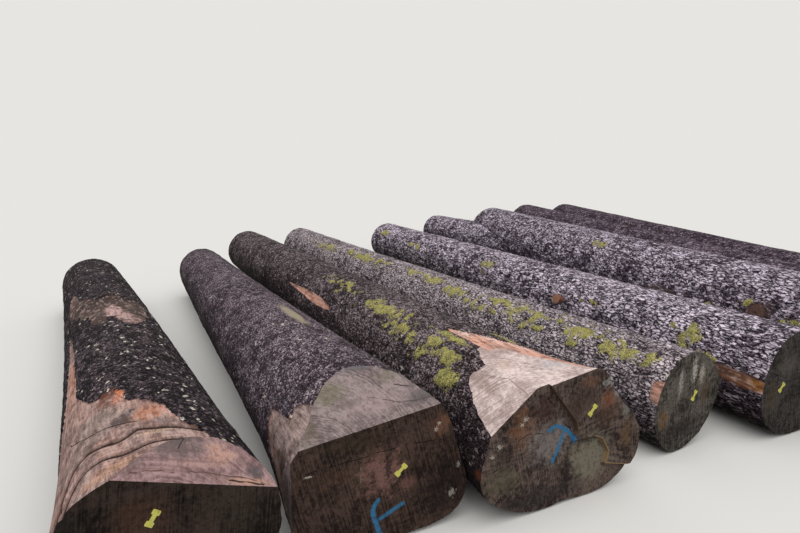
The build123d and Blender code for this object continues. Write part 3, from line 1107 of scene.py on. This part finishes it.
def lichen_flecks(net, where, share):
    """Ragged flecks in a share of the cells of a pattern."""
    flat = net.vector("MULTIPLY", where, (1.0, 0.55, 1.0))
    cells = net.vector("ADD", flat, net.wobble(where, 40.0, 2.0, 0.04))
    flecks = net.add("ShaderNodeTexVoronoi", {"Vector": cells, "Scale": 36.0})
    drawn = net.add("ShaderNodeSeparateColor", {0: flecks.outputs["Color"]}).outputs
    ragged = net.swing(net.noise(where, 120.0, 3.0), 0.7)
    away = net.total(flecks.outputs["Distance"], ragged, net.times(drawn[1], 0.22))
    fleck = net.ranged(away, 0.2, 0.36, 0.95, 0.0)
    return net.times(fleck, net.maths("LESS_THAN", drawn[0], share * 0.6))


def mossy(net, where, bark, colour, height):
    """The colour and height with tufts of moss where it grows."""
    ragged = net.swing(net.noise(where, 80.0, 5.0, 0.75), 2.0)
    moss = net.ranged(net.total(attribute(net, "moss"), ragged), -0.02, 0.28)
    tufts = net.noise(where, 170.0, 4.0, 0.75)
    tips = net.mix(net.ranged(tufts, 0.38, 0.62), bark.moss_dark, bark.moss_light)
    shaded = net.ranged(net.noise(where, 30.0, 3.0), 0.5, 0.68, 0.0, 0.45)
    tips = net.mix(shaded, tips, bark.moss_dark)
    cover = net.ranged(tufts, 0.3, 0.5, 0.55, 1.0)
    colour = net.mix(net.times(moss, cover), colour, tips)
    return colour, net.blend(moss, height, net.times(tufts, 1.6))


def bare_wood(net, where, trunk, wood, bare_edge):
    """Wood where the bark is gone, with fibres, stains, painted shadows and splits: its colour and
    height.
    """
    pale, stain = wood.pale, wood.stain
    torn = attribute(net, "torn")
    fibres = net.noise(net.vector("MULTIPLY", where, (120.0, 9.0, 120.0)), 1.0, 4.0, 0.6)
    blotch = net.ranged(net.streaks(where, 0.5, 10.0, 6.0, 0.72), 0.43, 0.57)
    colour = net.mix(blotch, wood.weathered, wood.peeled)
    colour = net.mix(net.ranged(net.streaks(where, 0.4, 23.0, 4.0), 0.5, 0.68, 0.0, 0.55), colour,
                     pale)
    fresh = net.ranged(net.streaks(where, 0.35, 18.0, 4.0), 0.32, 0.54)
    colour = net.mix(net.times(torn, fresh), colour, wood.torn)
    for spot in trunk.spots:
        colour = spotted(net, colour, where, trunk, spot)
    mottle = net.streaks(where, 0.45, 34.0, 5.0, 0.75)
    colour = net.mix(net.ranged(mottle, 0.36, 0.5, 0.75, 0.0), colour, stain)
    colour = net.mix(net.ranged(mottle, 0.5, 0.64, 0.0, 0.6), colour, pale)
    colour = net.mix(net.ranged(fibres, 0.34, 0.56, 0.5, 0.0), colour, stain)
    if trunk.splits:
        colour = split_streaks(net, where, colour, wood)
    rim = net.ranged(bare_edge, 0.04, 0.3, 0.75, 0.0)
    rim = net.times(rim, net.ranged(torn, 0.2, 0.9, 1.0, 0.3))
    colour = net.mix(rim, colour, stain)
    height = net.times(fibres, 0.4)
    if trunk.splits:
        colour, height = split_open(net, where, colour, height, wood)
    return colour, height


def split_streaks(net, where, colour, wood):
    """The colour with streaks in the grain that follow the splits."""
    sway = net.times(net.noise(where, 7.0, 3.0), 3.0)
    across = net.total(net.times(attribute(net, "split"), 1.3), sway)
    grain = net.noise(net.row(across), 1.0, 4.0, 0.7)
    share = net.ranged(attribute(net, "split_near"), 0.16, 0.26, 1.0, 0.0)
    dark = net.times(net.ranged(grain, 0.34, 0.5, 0.9, 0.0), share)
    pale = net.times(net.ranged(grain, 0.52, 0.7, 0.0, 0.7), share)
    return net.mix(pale, net.mix(dark, colour, wood.stain), wood.pale)


def split_open(net, where, colour, height, wood):
    """The colour and height with the splits' dark gaps and the stain beside them."""
    waver = net.swing(net.noise(where, 40.0, 3.0), 1.0)
    away = net.maths("ABSOLUTE", net.total(attribute(net, "split"), waver))
    near = net.ranged(attribute(net, "split_near"), 0.012, 0.024, 1.0, 0.0)
    gap = net.times(net.ranged(away, 0.3, 1.3, 1.0, 0.0), near)
    beside = net.times(net.ranged(away, 1.0, 3.5, 0.55, 0.0), near)
    colour = net.mix(beside, colour, wood.stain)
    colour = net.mix(net.times(gap, 0.92), colour, SPLIT_DARK)
    return colour, net.maths("SUBTRACT", height, net.times(gap, 1.2))


def bark_material(trunk, bark, wood, place):
    """Bark with lichen and moss, and bare wood where the bark is gone."""
    material, net, shader = new_material(trunk.name + "_bark")
    where = log_vector(net, place)
    colour, height, fine = bark_cover(net, where, trunk, bark)
    if trunk.peels:
        ragged = net.swing(net.noise(where, 45.0, 4.0, 0.65), 0.6)
        bare_edge = net.total(attribute(net, "peeled"), ragged)
        bare = net.ranged(bare_edge, 0.0, 0.08)
        wood_colour, wood_height = bare_wood(net, where, trunk, wood, bare_edge)
        colour = net.mix(bare, colour, wood_colour)
        height = net.blend(bare, height, wood_height)
    rough = net.total(0.66, net.times(fine, 0.3))
    finish_shader(net, shader, colour, rough, height, 0.8, bark.bump_depth)
    return material


def knot_material(trunk, knot, wood, centre):
    """The cut of a branch: its rings, its dark heart and grey patches."""
    material, net, shader = new_material(f"{trunk.name}_knot_{int(knot.along * 1000)}")
    where = net.add("ShaderNodeTexCoord").outputs["Object"]
    away = net.vector("LENGTH", net.vector("SUBTRACT", where, tuple(centre)))
    reach = net.total(away, net.swing(net.noise(where, 60.0, 3.0), 0.02))
    rings = net.noise(net.row(net.times(reach, KNOT_RINGS_A_METRE)), 1.0, 2.0)
    colour = net.mix(net.ranged(rings, 0.35, 0.65, 0.0, 0.6), knot.colour, wood.stain)
    heart = net.ranged(reach, 0.15 * knot.radius, 0.4 * knot.radius, 0.8, 0.0)
    colour = net.mix(heart, colour, KNOT_HEART)
    grey = net.ranged(net.noise(where, 90.0, 4.0), 0.5, 0.7, 0.0, 0.5)
    colour = net.mix(grey, colour, wood.weathered)
    rough = net.total(0.6, net.times(rings, 0.3))
    finish_shader(net, shader, colour, rough, rings, 0.5, 0.002)
    return material


@dataclass(frozen=True)
class Stain:
    """A soft patch on a sawn face: its place on the face, its two spreads and its colour."""

    right: float
    up: float
    across: float
    tall: float
    colour: tuple
    share: float = 0.6
    ragged: float = 0.35


@dataclass(frozen=True)
class Line:
    """A crack, a sprayed line or a painted highlight, through points on a sawn face."""

    points: tuple
    width: float
    colour: tuple
    waver: float = 0.02
    soft: float = 0.5
    depth: float = 0.0


@dataclass(frozen=True)
class Finish:
    """A sawn face: its tones, the saw's heading, and how much marks, rings and rays show."""

    dark: tuple
    light: tuple
    saw_turn: float = 0.0
    saw: float = 0.35
    rings: float = 0.15
    rays: float = 0.0
    mottle: float = 0.6
    pith: tuple = (0.0, 0.0)
    stains: tuple = ()
    lines: tuple = ()


PAINT = shade(56, 116, 156)
CRACK = shade(18, 14, 13)
PLAIN_FINISH = Finish(shade(66, 58, 53), shade(104, 92, 82), rings=0.4, rays=0.2)
# Painted highlight along the lit edge of the third butt's step
STEP_EDGE_HIGHLIGHT = shade(154, 128, 92)
WHITE_SPECK = shade(196, 188, 176)
FINISHES = {
    ("log_1", BUTT_SLOT): Finish(
        shade(18, 16, 14), shade(64, 52, 46), saw_turn=-7, saw=0.3,
        stains=(
            Stain(-0.08, 0.12, 0.12, 0.12, shade(92, 66, 54), 0.5),
            Stain(0.2, 0.1, 0.1, 0.2, shade(66, 58, 50), 0.4),
            Stain(-0.3, 0.1, 0.1, 0.16, shade(30, 31, 28), 0.7),
            # Painted shade over the lower part of the butt
            Stain(0.05, -0.25, 0.5, 0.12, shade(24, 20, 20), 0.6),
            Stain(0.0, 0.21, 0.34, 0.02, shade(70, 58, 52), 0.5),
            Stain(0.1, 0.0, 0.06, 0.1, shade(78, 62, 56), 0.5),
        ),
    ),
    ("log_1", BEVEL_SLOT): Finish(
        shade(114, 89, 88), shade(169, 139, 138), saw=0.12, rings=0.3, pith=(0.0, -0.2),
        stains=(
            Stain(0.03, 0.105, 0.17, 0.06, shade(92, 85, 82), 0.8, 0.6),
            Stain(0.04, 0.12, 0.12, 0.03, shade(80, 76, 74), 0.6, 0.6),
            Stain(-0.12, 0.05, 0.09, 0.04, shade(96, 84, 80), 0.6, 0.6),
            Stain(-0.24, 0.01, 0.08, 0.03, shade(70, 66, 60), 0.8),
            Stain(0.17, 0.075, 0.06, 0.035, shade(194, 152, 134), 0.75, 0.8),
            Stain(0.1, 0.05, 0.12, 0.015, shade(186, 148, 140), 0.6, 0.6),
            Stain(0.27, 0.035, 0.035, 0.03, shade(74, 72, 74), 0.8, 0.6),
            Stain(0.24, 0.01, 0.1, 0.012, shade(192, 148, 122), 0.7, 0.6),
            Stain(0.0, 0.03, 0.3, 0.006, shade(118, 92, 88), 0.5, 0.9),
            Stain(0.05, 0.055, 0.2, 0.005, shade(112, 90, 86), 0.5, 0.9),
            Stain(0.075, 0.12, 0.012, 0.02, shade(48, 44, 44), 0.7, 0.8),
        ),
        lines=(Line(((0.05, 0.085), (0.075, 0.12)), 0.003, shade(66, 56, 54)),
               Line(((-0.1, 0.02), (0.1, 0.03), (0.3, 0.01)), 0.002, shade(90, 66, 58)),
               Line(((0.18, 0.012), (0.24, 0.006), (0.33, 0.009)), 0.003, CRACK)),
    ),
    ("log_2", BUTT_SLOT): Finish(
        shade(32, 25, 23), shade(84, 66, 58), saw_turn=14, saw=0.3,
        stains=(
            Stain(-0.01, -0.03, 0.11, 0.12, shade(138, 102, 94), 0.8, 0.9),
            Stain(0.02, -0.02, 0.02, 0.06, shade(50, 36, 35), 0.8, 1.2),
            Stain(-0.04, -0.05, 0.015, 0.05, shade(52, 38, 36), 0.7, 1.2),
            Stain(-0.05, 0.03, 0.03, 0.012, shade(52, 38, 36), 0.6, 1.2),
            Stain(0.1, -0.1, 0.05, 0.04, shade(120, 86, 78), 0.65, 0.5),
            Stain(0.25, 0.11, 0.05, 0.06, shade(126, 88, 68), 0.6, 0.8),
            Stain(-0.2, 0.0, 0.16, 0.05, shade(92, 68, 56), 0.3, 0.9),
            Stain(-0.1, 0.12, 0.2, 0.04, shade(70, 58, 46), 0.5, 0.7),
            # Painted shade over the lower right of the butt
            Stain(0.27, -0.18, 0.16, 0.16, shade(28, 22, 24), 0.6, 0.6),
            Stain(-0.29, 0.03, 0.02, 0.005, WHITE_SPECK, 0.9, 1.3),
            Stain(0.225, 0.095, 0.01, 0.012, WHITE_SPECK, 0.85, 1.6),
            Stain(0.238, 0.116, 0.01, 0.009, WHITE_SPECK, 0.8, 1.6),
            Stain(0.3, -0.2, 0.02, 0.02, WHITE_SPECK, 0.6, 1.8),
            Stain(0.33, -0.08, 0.01, 0.015, WHITE_SPECK, 0.6, 1.8),
            Stain(-0.09, -0.02, 0.003, 0.05, shade(150, 138, 128), 0.4, 2.5),
        ),
        lines=(
            Line(((-0.3, 0.045), (-0.073, 0.053), (0.1, 0.06), (0.29, 0.045)), 0.0024, CRACK,
                 depth=1.0),
            Line(((-0.085, 0.03), (-0.09, -0.12), (-0.1, -0.28)), 0.002, CRACK, depth=0.6),
            Line(((0.083, -0.182), (0.035, -0.2), (-0.015, -0.216)), 0.0125, PAINT, 0.014, 0.75),
            Line(((-0.022, -0.138), (-0.042, -0.165), (-0.042, -0.2), (-0.015, -0.285)), 0.0135,
                 PAINT, 0.014, 0.75),
        ),
    ),
    ("log_2", BEVEL_SLOT): Finish(
        shade(98, 86, 84), shade(154, 138, 136), saw_turn=30, saw=0.1, rings=0.3, pith=(-0.3, -0.1),
        stains=(
            Stain(-0.16, 0.16, 0.1, 0.06, shade(112, 108, 84), 0.65),
            Stain(0.05, 0.23, 0.2, 0.03, shade(92, 96, 100), 0.7),
            Stain(0.22, 0.05, 0.12, 0.04, shade(82, 78, 80), 0.75),
            Stain(-0.28, 0.06, 0.06, 0.08, shade(98, 88, 70), 0.6),
            Stain(0.0, 0.08, 0.16, 0.06, shade(164, 142, 142), 0.5),
            Stain(-0.1, 0.1, 0.1, 0.02, shade(92, 82, 78), 0.5, 0.7),
            Stain(0.1, 0.16, 0.1, 0.03, shade(116, 110, 92), 0.5, 0.7),
            Stain(-0.325, 0.145, 0.03, 0.03, shade(214, 188, 168), 0.9),
        ),
        lines=(Line(((-0.05, 0.12), (0.1, 0.05), (0.3, 0.02)), 0.002, shade(70, 60, 60)),
               Line(((0.1, 0.12), (0.2, 0.07), (0.26, 0.03)), 0.003, CRACK)),
    ),
    ("log_3", BUTT_SLOT): Finish(
        shade(44, 36, 34), shade(112, 95, 87), saw_turn=12, saw=0.22, rings=0.15, rays=0.25,
        pith=(0.02, -0.02),
        stains=(
            Stain(-0.13, 0.09, 0.08, 0.11, shade(136, 92, 66), 0.5, 1.0),
            Stain(-0.2, 0.0, 0.06, 0.06, shade(40, 32, 30), 0.6, 0.7),
            Stain(-0.01, 0.15, 0.07, 0.09, shade(66, 44, 42), 0.7, 0.4),
            Stain(0.02, -0.01, 0.14, 0.12, shade(146, 138, 134), 0.6, 0.9),
            Stain(-0.22, -0.12, 0.12, 0.08, shade(98, 94, 76), 0.6, 0.7),
            # Painted shade over the lower part of the butt
            Stain(0.0, -0.24, 0.3, 0.07, shade(50, 46, 46), 0.7, 0.5),
            Stain(0.08, -0.14, 0.06, 0.05, shade(40, 35, 34), 0.5, 0.7),
            Stain(0.24, -0.13, 0.15, 0.15, shade(134, 128, 112), 0.85, 0.6),
            Stain(0.3, 0.07, 0.12, 0.08, shade(76, 56, 44), 0.55, 0.7),
            Stain(0.12, 0.1, 0.06, 0.1, shade(56, 42, 38), 0.6, 0.6),
            Stain(0.17, 0.16, 0.12, 0.08, shade(62, 48, 40), 0.6, 0.4),
            Stain(0.31, 0.13, 0.05, 0.06, shade(134, 86, 60), 0.7, 0.9),
            Stain(0.2, 0.23, 0.07, 0.03, shade(120, 80, 60), 0.5, 0.9),
            Stain(0.12, -0.17, 0.04, 0.08, shade(32, 27, 27), 0.8, 0.9),
            Stain(0.22, -0.04, 0.1, 0.02, shade(40, 33, 31), 0.6, 0.9),
            Stain(0.31, 0.21, 0.05, 0.03, shade(158, 154, 150), 0.75, 1.0),
            Stain(0.36, 0.16, 0.03, 0.04, shade(152, 148, 142), 0.7, 1.0),
            Stain(0.42, 0.06, 0.03, 0.05, shade(146, 142, 132), 0.6, 1.0),
            Stain(0.43, -0.06, 0.05, 0.08, shade(118, 92, 66), 0.6, 0.7),
            Stain(-0.113, 0.127, 0.016, 0.012, WHITE_SPECK, 0.75, 1.8),
            Stain(-0.13, 0.105, 0.012, 0.01, WHITE_SPECK, 0.75, 1.8),
            Stain(-0.235, 0.035, 0.016, 0.012, WHITE_SPECK, 0.75, 1.8),
            Stain(-0.27, 0.0, 0.012, 0.012, WHITE_SPECK, 0.75, 1.8),
        ),
        lines=(
            # Painted highlight along the step's lit edge, thin at first and wider lower down
            Line(STEP_LINE[1:6], 0.0025, shade(96, 76, 62), 0.006),
            Line(STEP_LINE[5:10], 0.0045, STEP_EDGE_HIGHLIGHT, 0.006),
            Line(((-0.007, 0.198), (0.06, 0.1), (0.12, 0.03), (0.14, -0.005)), 0.0028, CRACK,
                 depth=1.0),
            Line(((-0.2, 0.02), (-0.09, 0.06), (-0.02, 0.04)), 0.002, CRACK, depth=0.6),
            Line(((0.0, -0.03), (-0.06, -0.12), (-0.07, -0.2)), 0.002, CRACK, depth=0.6),
            Line(((0.009, 0.046), (0.039, 0.061), (0.083, 0.046), (0.123, 0.01), (0.148, -0.033)),
                 0.0125, PAINT, 0.012, 0.75),
            Line(((0.09, 0.03), (0.063, -0.043), (0.035, -0.1)), 0.0135, PAINT, 0.012, 0.75),
        ),
    ),
    ("log_3", BEVEL_SLOT): Finish(
        shade(160, 139, 134), shade(230, 210, 204), saw_turn=70, saw=0.16, rings=0.3,
        pith=(-0.3, -0.2),
        stains=(
            Stain(-0.17, 0.25, 0.03, 0.2, shade(140, 118, 108), 0.6),
            Stain(0.1, 0.4, 0.12, 0.07, shade(222, 206, 206), 0.6),
            Stain(0.14, 0.14, 0.12, 0.07, shade(172, 166, 168), 0.75, 0.7),
            Stain(-0.05, 0.25, 0.05, 0.08, shade(186, 158, 142), 0.5),
            Stain(0.02, 0.5, 0.08, 0.1, shade(190, 180, 172), 0.5),
            Stain(-0.12, 0.4, 0.06, 0.08, shade(200, 180, 160), 0.5),
            Stain(-0.1, 0.08, 0.1, 0.04, shade(150, 130, 122), 0.5, 0.8),
            Stain(0.2, 0.22, 0.06, 0.02, shade(150, 136, 136), 0.5),
        ),
        lines=(Line(((-0.12, 0.36), (-0.02, 0.3), (0.03, 0.2)), 0.0025, shade(138, 116, 108)),
               Line(((-0.16, 0.3), (-0.1, 0.15), (-0.1, 0.03)), 0.0025, shade(146, 122, 114)),
               Line(((-0.05, 0.6), (0.06, 0.3), (0.1, 0.02)), 0.0022, shade(162, 140, 136))),
    ),
    ("log_4", BUTT_SLOT): Finish(
        shade(42, 39, 36), shade(112, 105, 97), saw_turn=8, saw=0.25, rings=0.15, rays=0.16,
        pith=(-0.02, 0.0),
        stains=(
            Stain(0.04, 0.15, 0.025, 0.08, shade(188, 182, 172), 0.85, 1.2),
            Stain(-0.06, 0.1, 0.02, 0.09, shade(176, 168, 158), 0.8, 1.2),
            Stain(0.1, 0.12, 0.025, 0.06, shade(180, 172, 160), 0.8, 1.2),
            Stain(0.14, 0.02, 0.05, 0.08, shade(104, 84, 62), 0.5, 0.6),
            Stain(-0.17, -0.06, 0.04, 0.06, shade(118, 84, 50), 0.7, 1.3),
            Stain(-0.02, -0.14, 0.2, 0.08, shade(34, 30, 30), 0.7, 0.5),
            Stain(-0.02, 0.05, 0.06, 0.06, shade(110, 104, 98), 0.4, 0.8),
        ),
        lines=(Line(((0.0, 0.02), (0.06, 0.08), (0.08, 0.2)), 0.002, CRACK, depth=0.6),),
    ),
    ("log_5", BUTT_SLOT): Finish(
        shade(40, 37, 36), shade(84, 79, 75), saw_turn=15, saw=0.25, rings=0.2, rays=0.25,
        stains=(Stain(-0.1, 0.12, 0.1, 0.08, shade(104, 98, 90), 0.5, 0.8),
                Stain(-0.2, -0.05, 0.06, 0.12, shade(84, 72, 54), 0.5, 0.7)),
        lines=(Line(((-0.2, 0.08), (-0.08, 0.03), (0.02, 0.02)), 0.0024, CRACK, depth=0.8),),
    ),
}


def face_material(trunk, place, slot):
    """A sawn face: saw marks, rings and rays, weather stains, painted shade, cracks, sprayed lines
    and painted highlights.
    """
    material, net, shader = new_material(f"{trunk.name}_{FACE_NAMES[slot]}")
    finish = FINISHES.get((trunk.name, slot), PLAIN_FINISH)
    where = log_vector(net, place)
    flat, axis = face_plane(net, where, trunk, slot)
    pith = (finish.pith[0], 0, axis + finish.pith[1])
    given = {"Vector": flat, "Pith": pith, "Saw Turn": math.radians(finish.saw_turn)}
    grain = net.add("ShaderNodeGroup", given, node_tree=end_grain_group()).outputs
    cloud = net.noise(where, 6.0, 5.0, 0.62)
    spots = net.noise(where, 45.0, 4.0, 0.7)
    mottle = net.noise(where, 60.0, 5.0, 0.75)
    tone = net.total(net.ranged(cloud, 0.32, 0.68, 0.0, 0.6),
                     net.ranged(spots, 0.35, 0.65, 0.0, 0.4))
    for name, share in (("Saw", finish.saw), ("Rings", finish.rings), ("Rays", finish.rays)):
        tone = net.total(tone, net.swing(net.ranged(grain[name], 0.34, 0.66), share * 1.6))
    tone = net.maths("ADD", net.times(tone, 1.5), -0.25, clamp=True)
    colour = net.mix(tone, finish.dark, finish.light)
    for stain in finish.stains:
        centre, spread = (stain.right, 0, axis + stain.up), (stain.across, 1.0, stain.tall)
        colour = stained(net, colour, flat, centre, spread, stain.colour, stain.share,
                         stain.ragged, 0.7)
    colour = net.mix(net.ranged(grain["Saw"], 0.3, 0.48, 0.7 * finish.saw, 0.0), colour,
                     finish.dark)
    colour = net.mix(net.ranged(mottle, 0.36, 0.5, finish.mottle, 0.0), colour, finish.dark)
    colour = net.mix(net.ranged(mottle, 0.5, 0.68, 0.0, 0.6 * finish.mottle), colour, finish.light)
    height = net.total(net.times(grain["Saw"], 0.5), net.times(spots, 0.3))
    for line in finish.lines:
        share = LINE_SHARE
        if line.colour == PAINT:
            share = net.ranged(net.total(mottle, spots), 0.74, 1.06, 0.35, 0.95)
        colour, height = lined(net, colour, height, flat, axis, line, share)
    rough = net.total(0.55, net.times(cloud, 0.35))
    finish_shader(net, shader, colour, rough, height, 0.6, 0.002)
    return material


def face_plane(net, where, trunk, slot):
    """The place on a sawn face as seen from in front of it, and the axis's height there."""
    if slot == BEVEL_SLOT:
        turn = {"Vector": where, "Angle": math.radians(-90)}
        across = net.add("ShaderNodeVectorRotate", turn, rotation_type="X_AXIS").outputs[0]
        return net.vector("MULTIPLY", across, (1.0, 0.0, -1.0)), 0.0
    axis = float(axis_height(trunk, trunk.length if slot == TOP_SLOT else 0.0))
    return net.vector("MULTIPLY", where, (1.0, 0.0, 1.0)), axis


def lined(net, colour, height, flat, axis, line, share):
    """The colour and height with one more crack, sprayed line or painted highlight, laid on by that
    share.
    """
    curved = line.colour == PAINT and len(line.points) > 3
    points = rounded(line.points, 1 if curved else 0).tolist()
    for start, end in zip(points, points[1:]):
        given = {"Vector": flat, "Width": line.width, "Waver": line.waver, "Soft": line.soft}
        given["Start"] = (start[0], 0, axis + start[1])
        given["End"] = (end[0], 0, axis + end[1])
        mask = net.add("ShaderNodeGroup", given, node_tree=stroke_group()).outputs[0]
        colour = net.mix(net.times(mask, share), colour, line.colour)
        if line.depth:
            height = net.maths("SUBTRACT", height, net.times(mask, line.depth))
    return colour, height


class DressPlates(bpy.types.Operator):
    """Give the number plates on the butts their yellow plastic"""

    bl_idname = "sawlogs.dress_plates"
    bl_label = "Number plates"

    def execute(self, context):
        settings = context.scene.wood_settings
        material, net, shader = new_material("yellow_plastic")
        coordinates = net.add("ShaderNodeTexCoord").outputs["Object"]
        dirt = net.noise(coordinates, 70.0, 4.0)
        dirty = net.ranged(dirt, 0.5, 0.75, 0.0, 0.45)
        colour = net.mix(dirty, settings.plastic, DIRTY_PLASTIC)
        rough = net.ranged(dirt, 0.3, 0.7, 0.35, 0.6)
        net.join(shader, {"Base Color": colour, "Roughness": rough})
        for name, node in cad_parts.items():
            if name.startswith("plate"):
                node.data.materials.clear()
                node.data.materials.append(material)
        return {"FINISHED"}


class SetStage(bpy.types.Operator):
    """Lay the pale floor and set the soft light and the camera"""

    bl_idname = "sawlogs.set_stage"
    bl_label = "Floor, light and camera"

    def execute(self, context):
        settings = context.scene.stage_settings
        lay_floor(settings)
        light_world(context.scene, settings)
        hang_lamp(settings)
        place_camera(context.scene, settings)
        context.scene.view_settings.view_transform = "Standard"
        return {"FINISHED"}


def lay_floor(settings):
    """A plain pale floor far behind the row. Light that leaves it for the logs is weaker."""
    bpy.ops.object.select_all(action="DESELECT")
    bpy.ops.mesh.primitive_plane_add(size=settings.floor_size)
    floor = bpy.context.object
    floor.name = "floor"
    material, net, shader = new_material("pale_floor")
    seen = net.add("ShaderNodeLightPath").outputs["Is Camera Ray"]
    colour = net.mix(seen, settings.floor_bounce, settings.floor_colour)
    net.join(shader, {"Base Color": colour, "Roughness": 1.0, "Specular IOR Level": 0.0})
    floor.data.materials.append(material)


def light_world(scene, settings):
    """Soft light from all round, and a pale backdrop for the camera."""
    world = bpy.data.worlds.new("studio")
    world.use_nodes = True
    scene.world = world
    net = Net(world.node_tree)
    seen = net.add("ShaderNodeLightPath").outputs["Is Camera Ray"]
    colour = net.mix(seen, settings.sky_colour, settings.backdrop)
    strength = net.blend(seen, settings.sky_light, 1.0)
    net.join(world.node_tree.nodes["Background"], {"Color": colour, "Strength": strength})


def hang_lamp(settings):
    """A broad soft light from above the row."""
    tilt = [math.radians(turn) for turn in LAMP_TILT]
    bpy.ops.object.light_add(type="SUN", location=(0, 0, 8), rotation=(*tilt, 0))
    lamp = bpy.context.object
    lamp.data.angle = settings.lamp_spread
    lamp.data.energy = settings.lamp_power


def place_camera(scene, settings):
    """The camera at a standing eye level, left of the row and in front of its butts."""
    bpy.ops.object.camera_add(
        location=settings.camera_place,
        rotation=(math.radians(90 - settings.camera_pitch), 0, math.radians(-settings.camera_turn)),
    )
    camera = bpy.context.object
    camera.data.lens = settings.lens
    camera.data.sensor_width = SENSOR_WIDTH
    camera.data.sensor_fit = "HORIZONTAL"
    scene.camera = camera


class BarkSettings(bpy.types.PropertyGroup):
    """Sizes and colours of the bark."""

    thickness: FloatProperty(name="Bark thickness",
                             description="How far bare wood lies below the bark", default=0.011,
                             unit="LENGTH")
    lump_depth: FloatProperty(name="Lump depth", description="Depth of the bark's broad lumps",
                              default=0.008, unit="LENGTH")
    ridge_depth: FloatProperty(name="Ridge depth", description="Depth of the bark's small ridges",
                               default=0.006, unit="LENGTH")
    bump_depth: FloatProperty(name="Flake depth", description="Depth of the bark's flakes",
                              default=0.004, unit="LENGTH")
    # Painted shade near the ground, partly damp bark
    damp_and_shade: FloatProperty(name="Damp and shade", description="How dark the bark is near the ground",
                        default=0.7, subtype="FACTOR")
    under_bark: FloatVectorProperty(name="Under bark", description="Brown of chipped bark",
                                    subtype="COLOR", default=shade(74, 56, 50))
    lichen: FloatVectorProperty(name="Lichen", description="Colour of the pale lichen",
                                subtype="COLOR", default=shade(214, 206, 190))
    moss_dark: FloatVectorProperty(name="Moss in shade", description="Moss between its tufts",
                                   subtype="COLOR", default=shade(74, 71, 36))
    moss_light: FloatVectorProperty(name="Moss", description="Tips of the moss", subtype="COLOR",
                                    default=shade(206, 197, 122))


class WoodSettings(bpy.types.PropertyGroup):
    """Colours of bare wood and of the number plates."""

    weathered: FloatVectorProperty(name="Weathered wood", description="Grey bare wood",
                                   subtype="COLOR", default=shade(134, 114, 110))
    peeled: FloatVectorProperty(name="Peeled wood", description="Pinkish brown bare wood",
                                subtype="COLOR", default=shade(180, 146, 137))
    pale: FloatVectorProperty(name="Pale wood", description="Palest bare wood", subtype="COLOR",
                              default=shade(210, 182, 172))
    torn: FloatVectorProperty(name="Torn wood", description="Fresh orange wood", subtype="COLOR",
                              default=shade(226, 168, 146))
    stain: FloatVectorProperty(name="Stained wood", description="Dark stains in the grain",
                               subtype="COLOR", default=shade(84, 62, 55))
    plastic: FloatVectorProperty(name="Number plates", description="Yellow plastic",
                                 subtype="COLOR", default=shade(216, 210, 104))


class StageSettings(bpy.types.PropertyGroup):
    """Floor, light and camera."""

    floor_size: FloatProperty(name="Floor size", description="Side of the floor", default=600.0,
                              unit="LENGTH")
    floor_colour: FloatVectorProperty(name="Floor", description="Colour of the floor",
                                      subtype="COLOR", default=shade(222, 220, 216))
    floor_bounce: FloatVectorProperty(name="Floor bounce",
                                      description="Colour of the light off the floor",
                                      subtype="COLOR", default=shade(140, 138, 134))
    backdrop: FloatVectorProperty(name="Backdrop", description="Colour behind the floor",
                                  subtype="COLOR", default=shade(231, 229, 225))
    sky_light: FloatProperty(name="Sky light", description="Strength of the light from all round",
                             default=0.55)
    sky_colour: FloatVectorProperty(name="Sky", description="Colour of the light from all round",
                                    subtype="COLOR", default=(1.0, 1.0, 1.0))
    lamp_power: FloatProperty(name="Lamp", description="Strength of the light from above",
                              default=1.9)
    lamp_spread: FloatProperty(name="Lamp spread", description="How wide the light from above is",
                               default=math.radians(80), subtype="ANGLE")
    camera_place: FloatVectorProperty(name="Camera place", description="Where the camera stands",
                                      subtype="TRANSLATION", unit="LENGTH",
                                      default=(-3.2437, -4.1117, 1.55))
    camera_pitch: FloatProperty(name="Camera pitch",
                                description="Degrees that the camera looks down", default=12.6)
    camera_turn: FloatProperty(name="Camera turn",
                               description="Degrees that the camera looks right", default=28.0)
    lens: FloatProperty(name="Lens", description="Focal length in mm", default=27.45, unit="CAMERA")


class SawlogsPanel(bpy.types.Panel):
    """The sizes and steps of the row of sawlogs"""

    bl_idname = "VIEW3D_PT_sawlogs"
    bl_label = "Sawlogs"
    bl_space_type = "VIEW_3D"
    bl_region_type = "UI"
    bl_category = "Sawlogs"

    def draw(self, context):
        for name in ("bark_settings", "wood_settings", "stage_settings"):
            settings = getattr(context.scene, name)
            for key in settings.__annotations__:
                self.layout.prop(settings, key)
        for step in (MakeLogs, DressPlates, SetStage):
            self.layout.operator(step.bl_idname)


CLASSES = (BarkSettings, WoodSettings, StageSettings, MakeLogs, DressPlates, SetStage, SawlogsPanel)


def register():
    for item in CLASSES:
        bpy.utils.register_class(item)
    bpy.types.Scene.bark_settings = PointerProperty(type=BarkSettings)
    bpy.types.Scene.wood_settings = PointerProperty(type=WoodSettings)
    bpy.types.Scene.stage_settings = PointerProperty(type=StageSettings)


def unregister():
    for name in ("bark_settings", "wood_settings", "stage_settings"):
        delattr(bpy.types.Scene, name)
    for item in reversed(CLASSES):
        bpy.utils.unregister_class(item)


def main():
    register()
    bpy.ops.sawlogs.make_logs()
    bpy.ops.sawlogs.dress_plates()
    bpy.ops.sawlogs.set_stage()


if __name__ == "__main__":
    main()
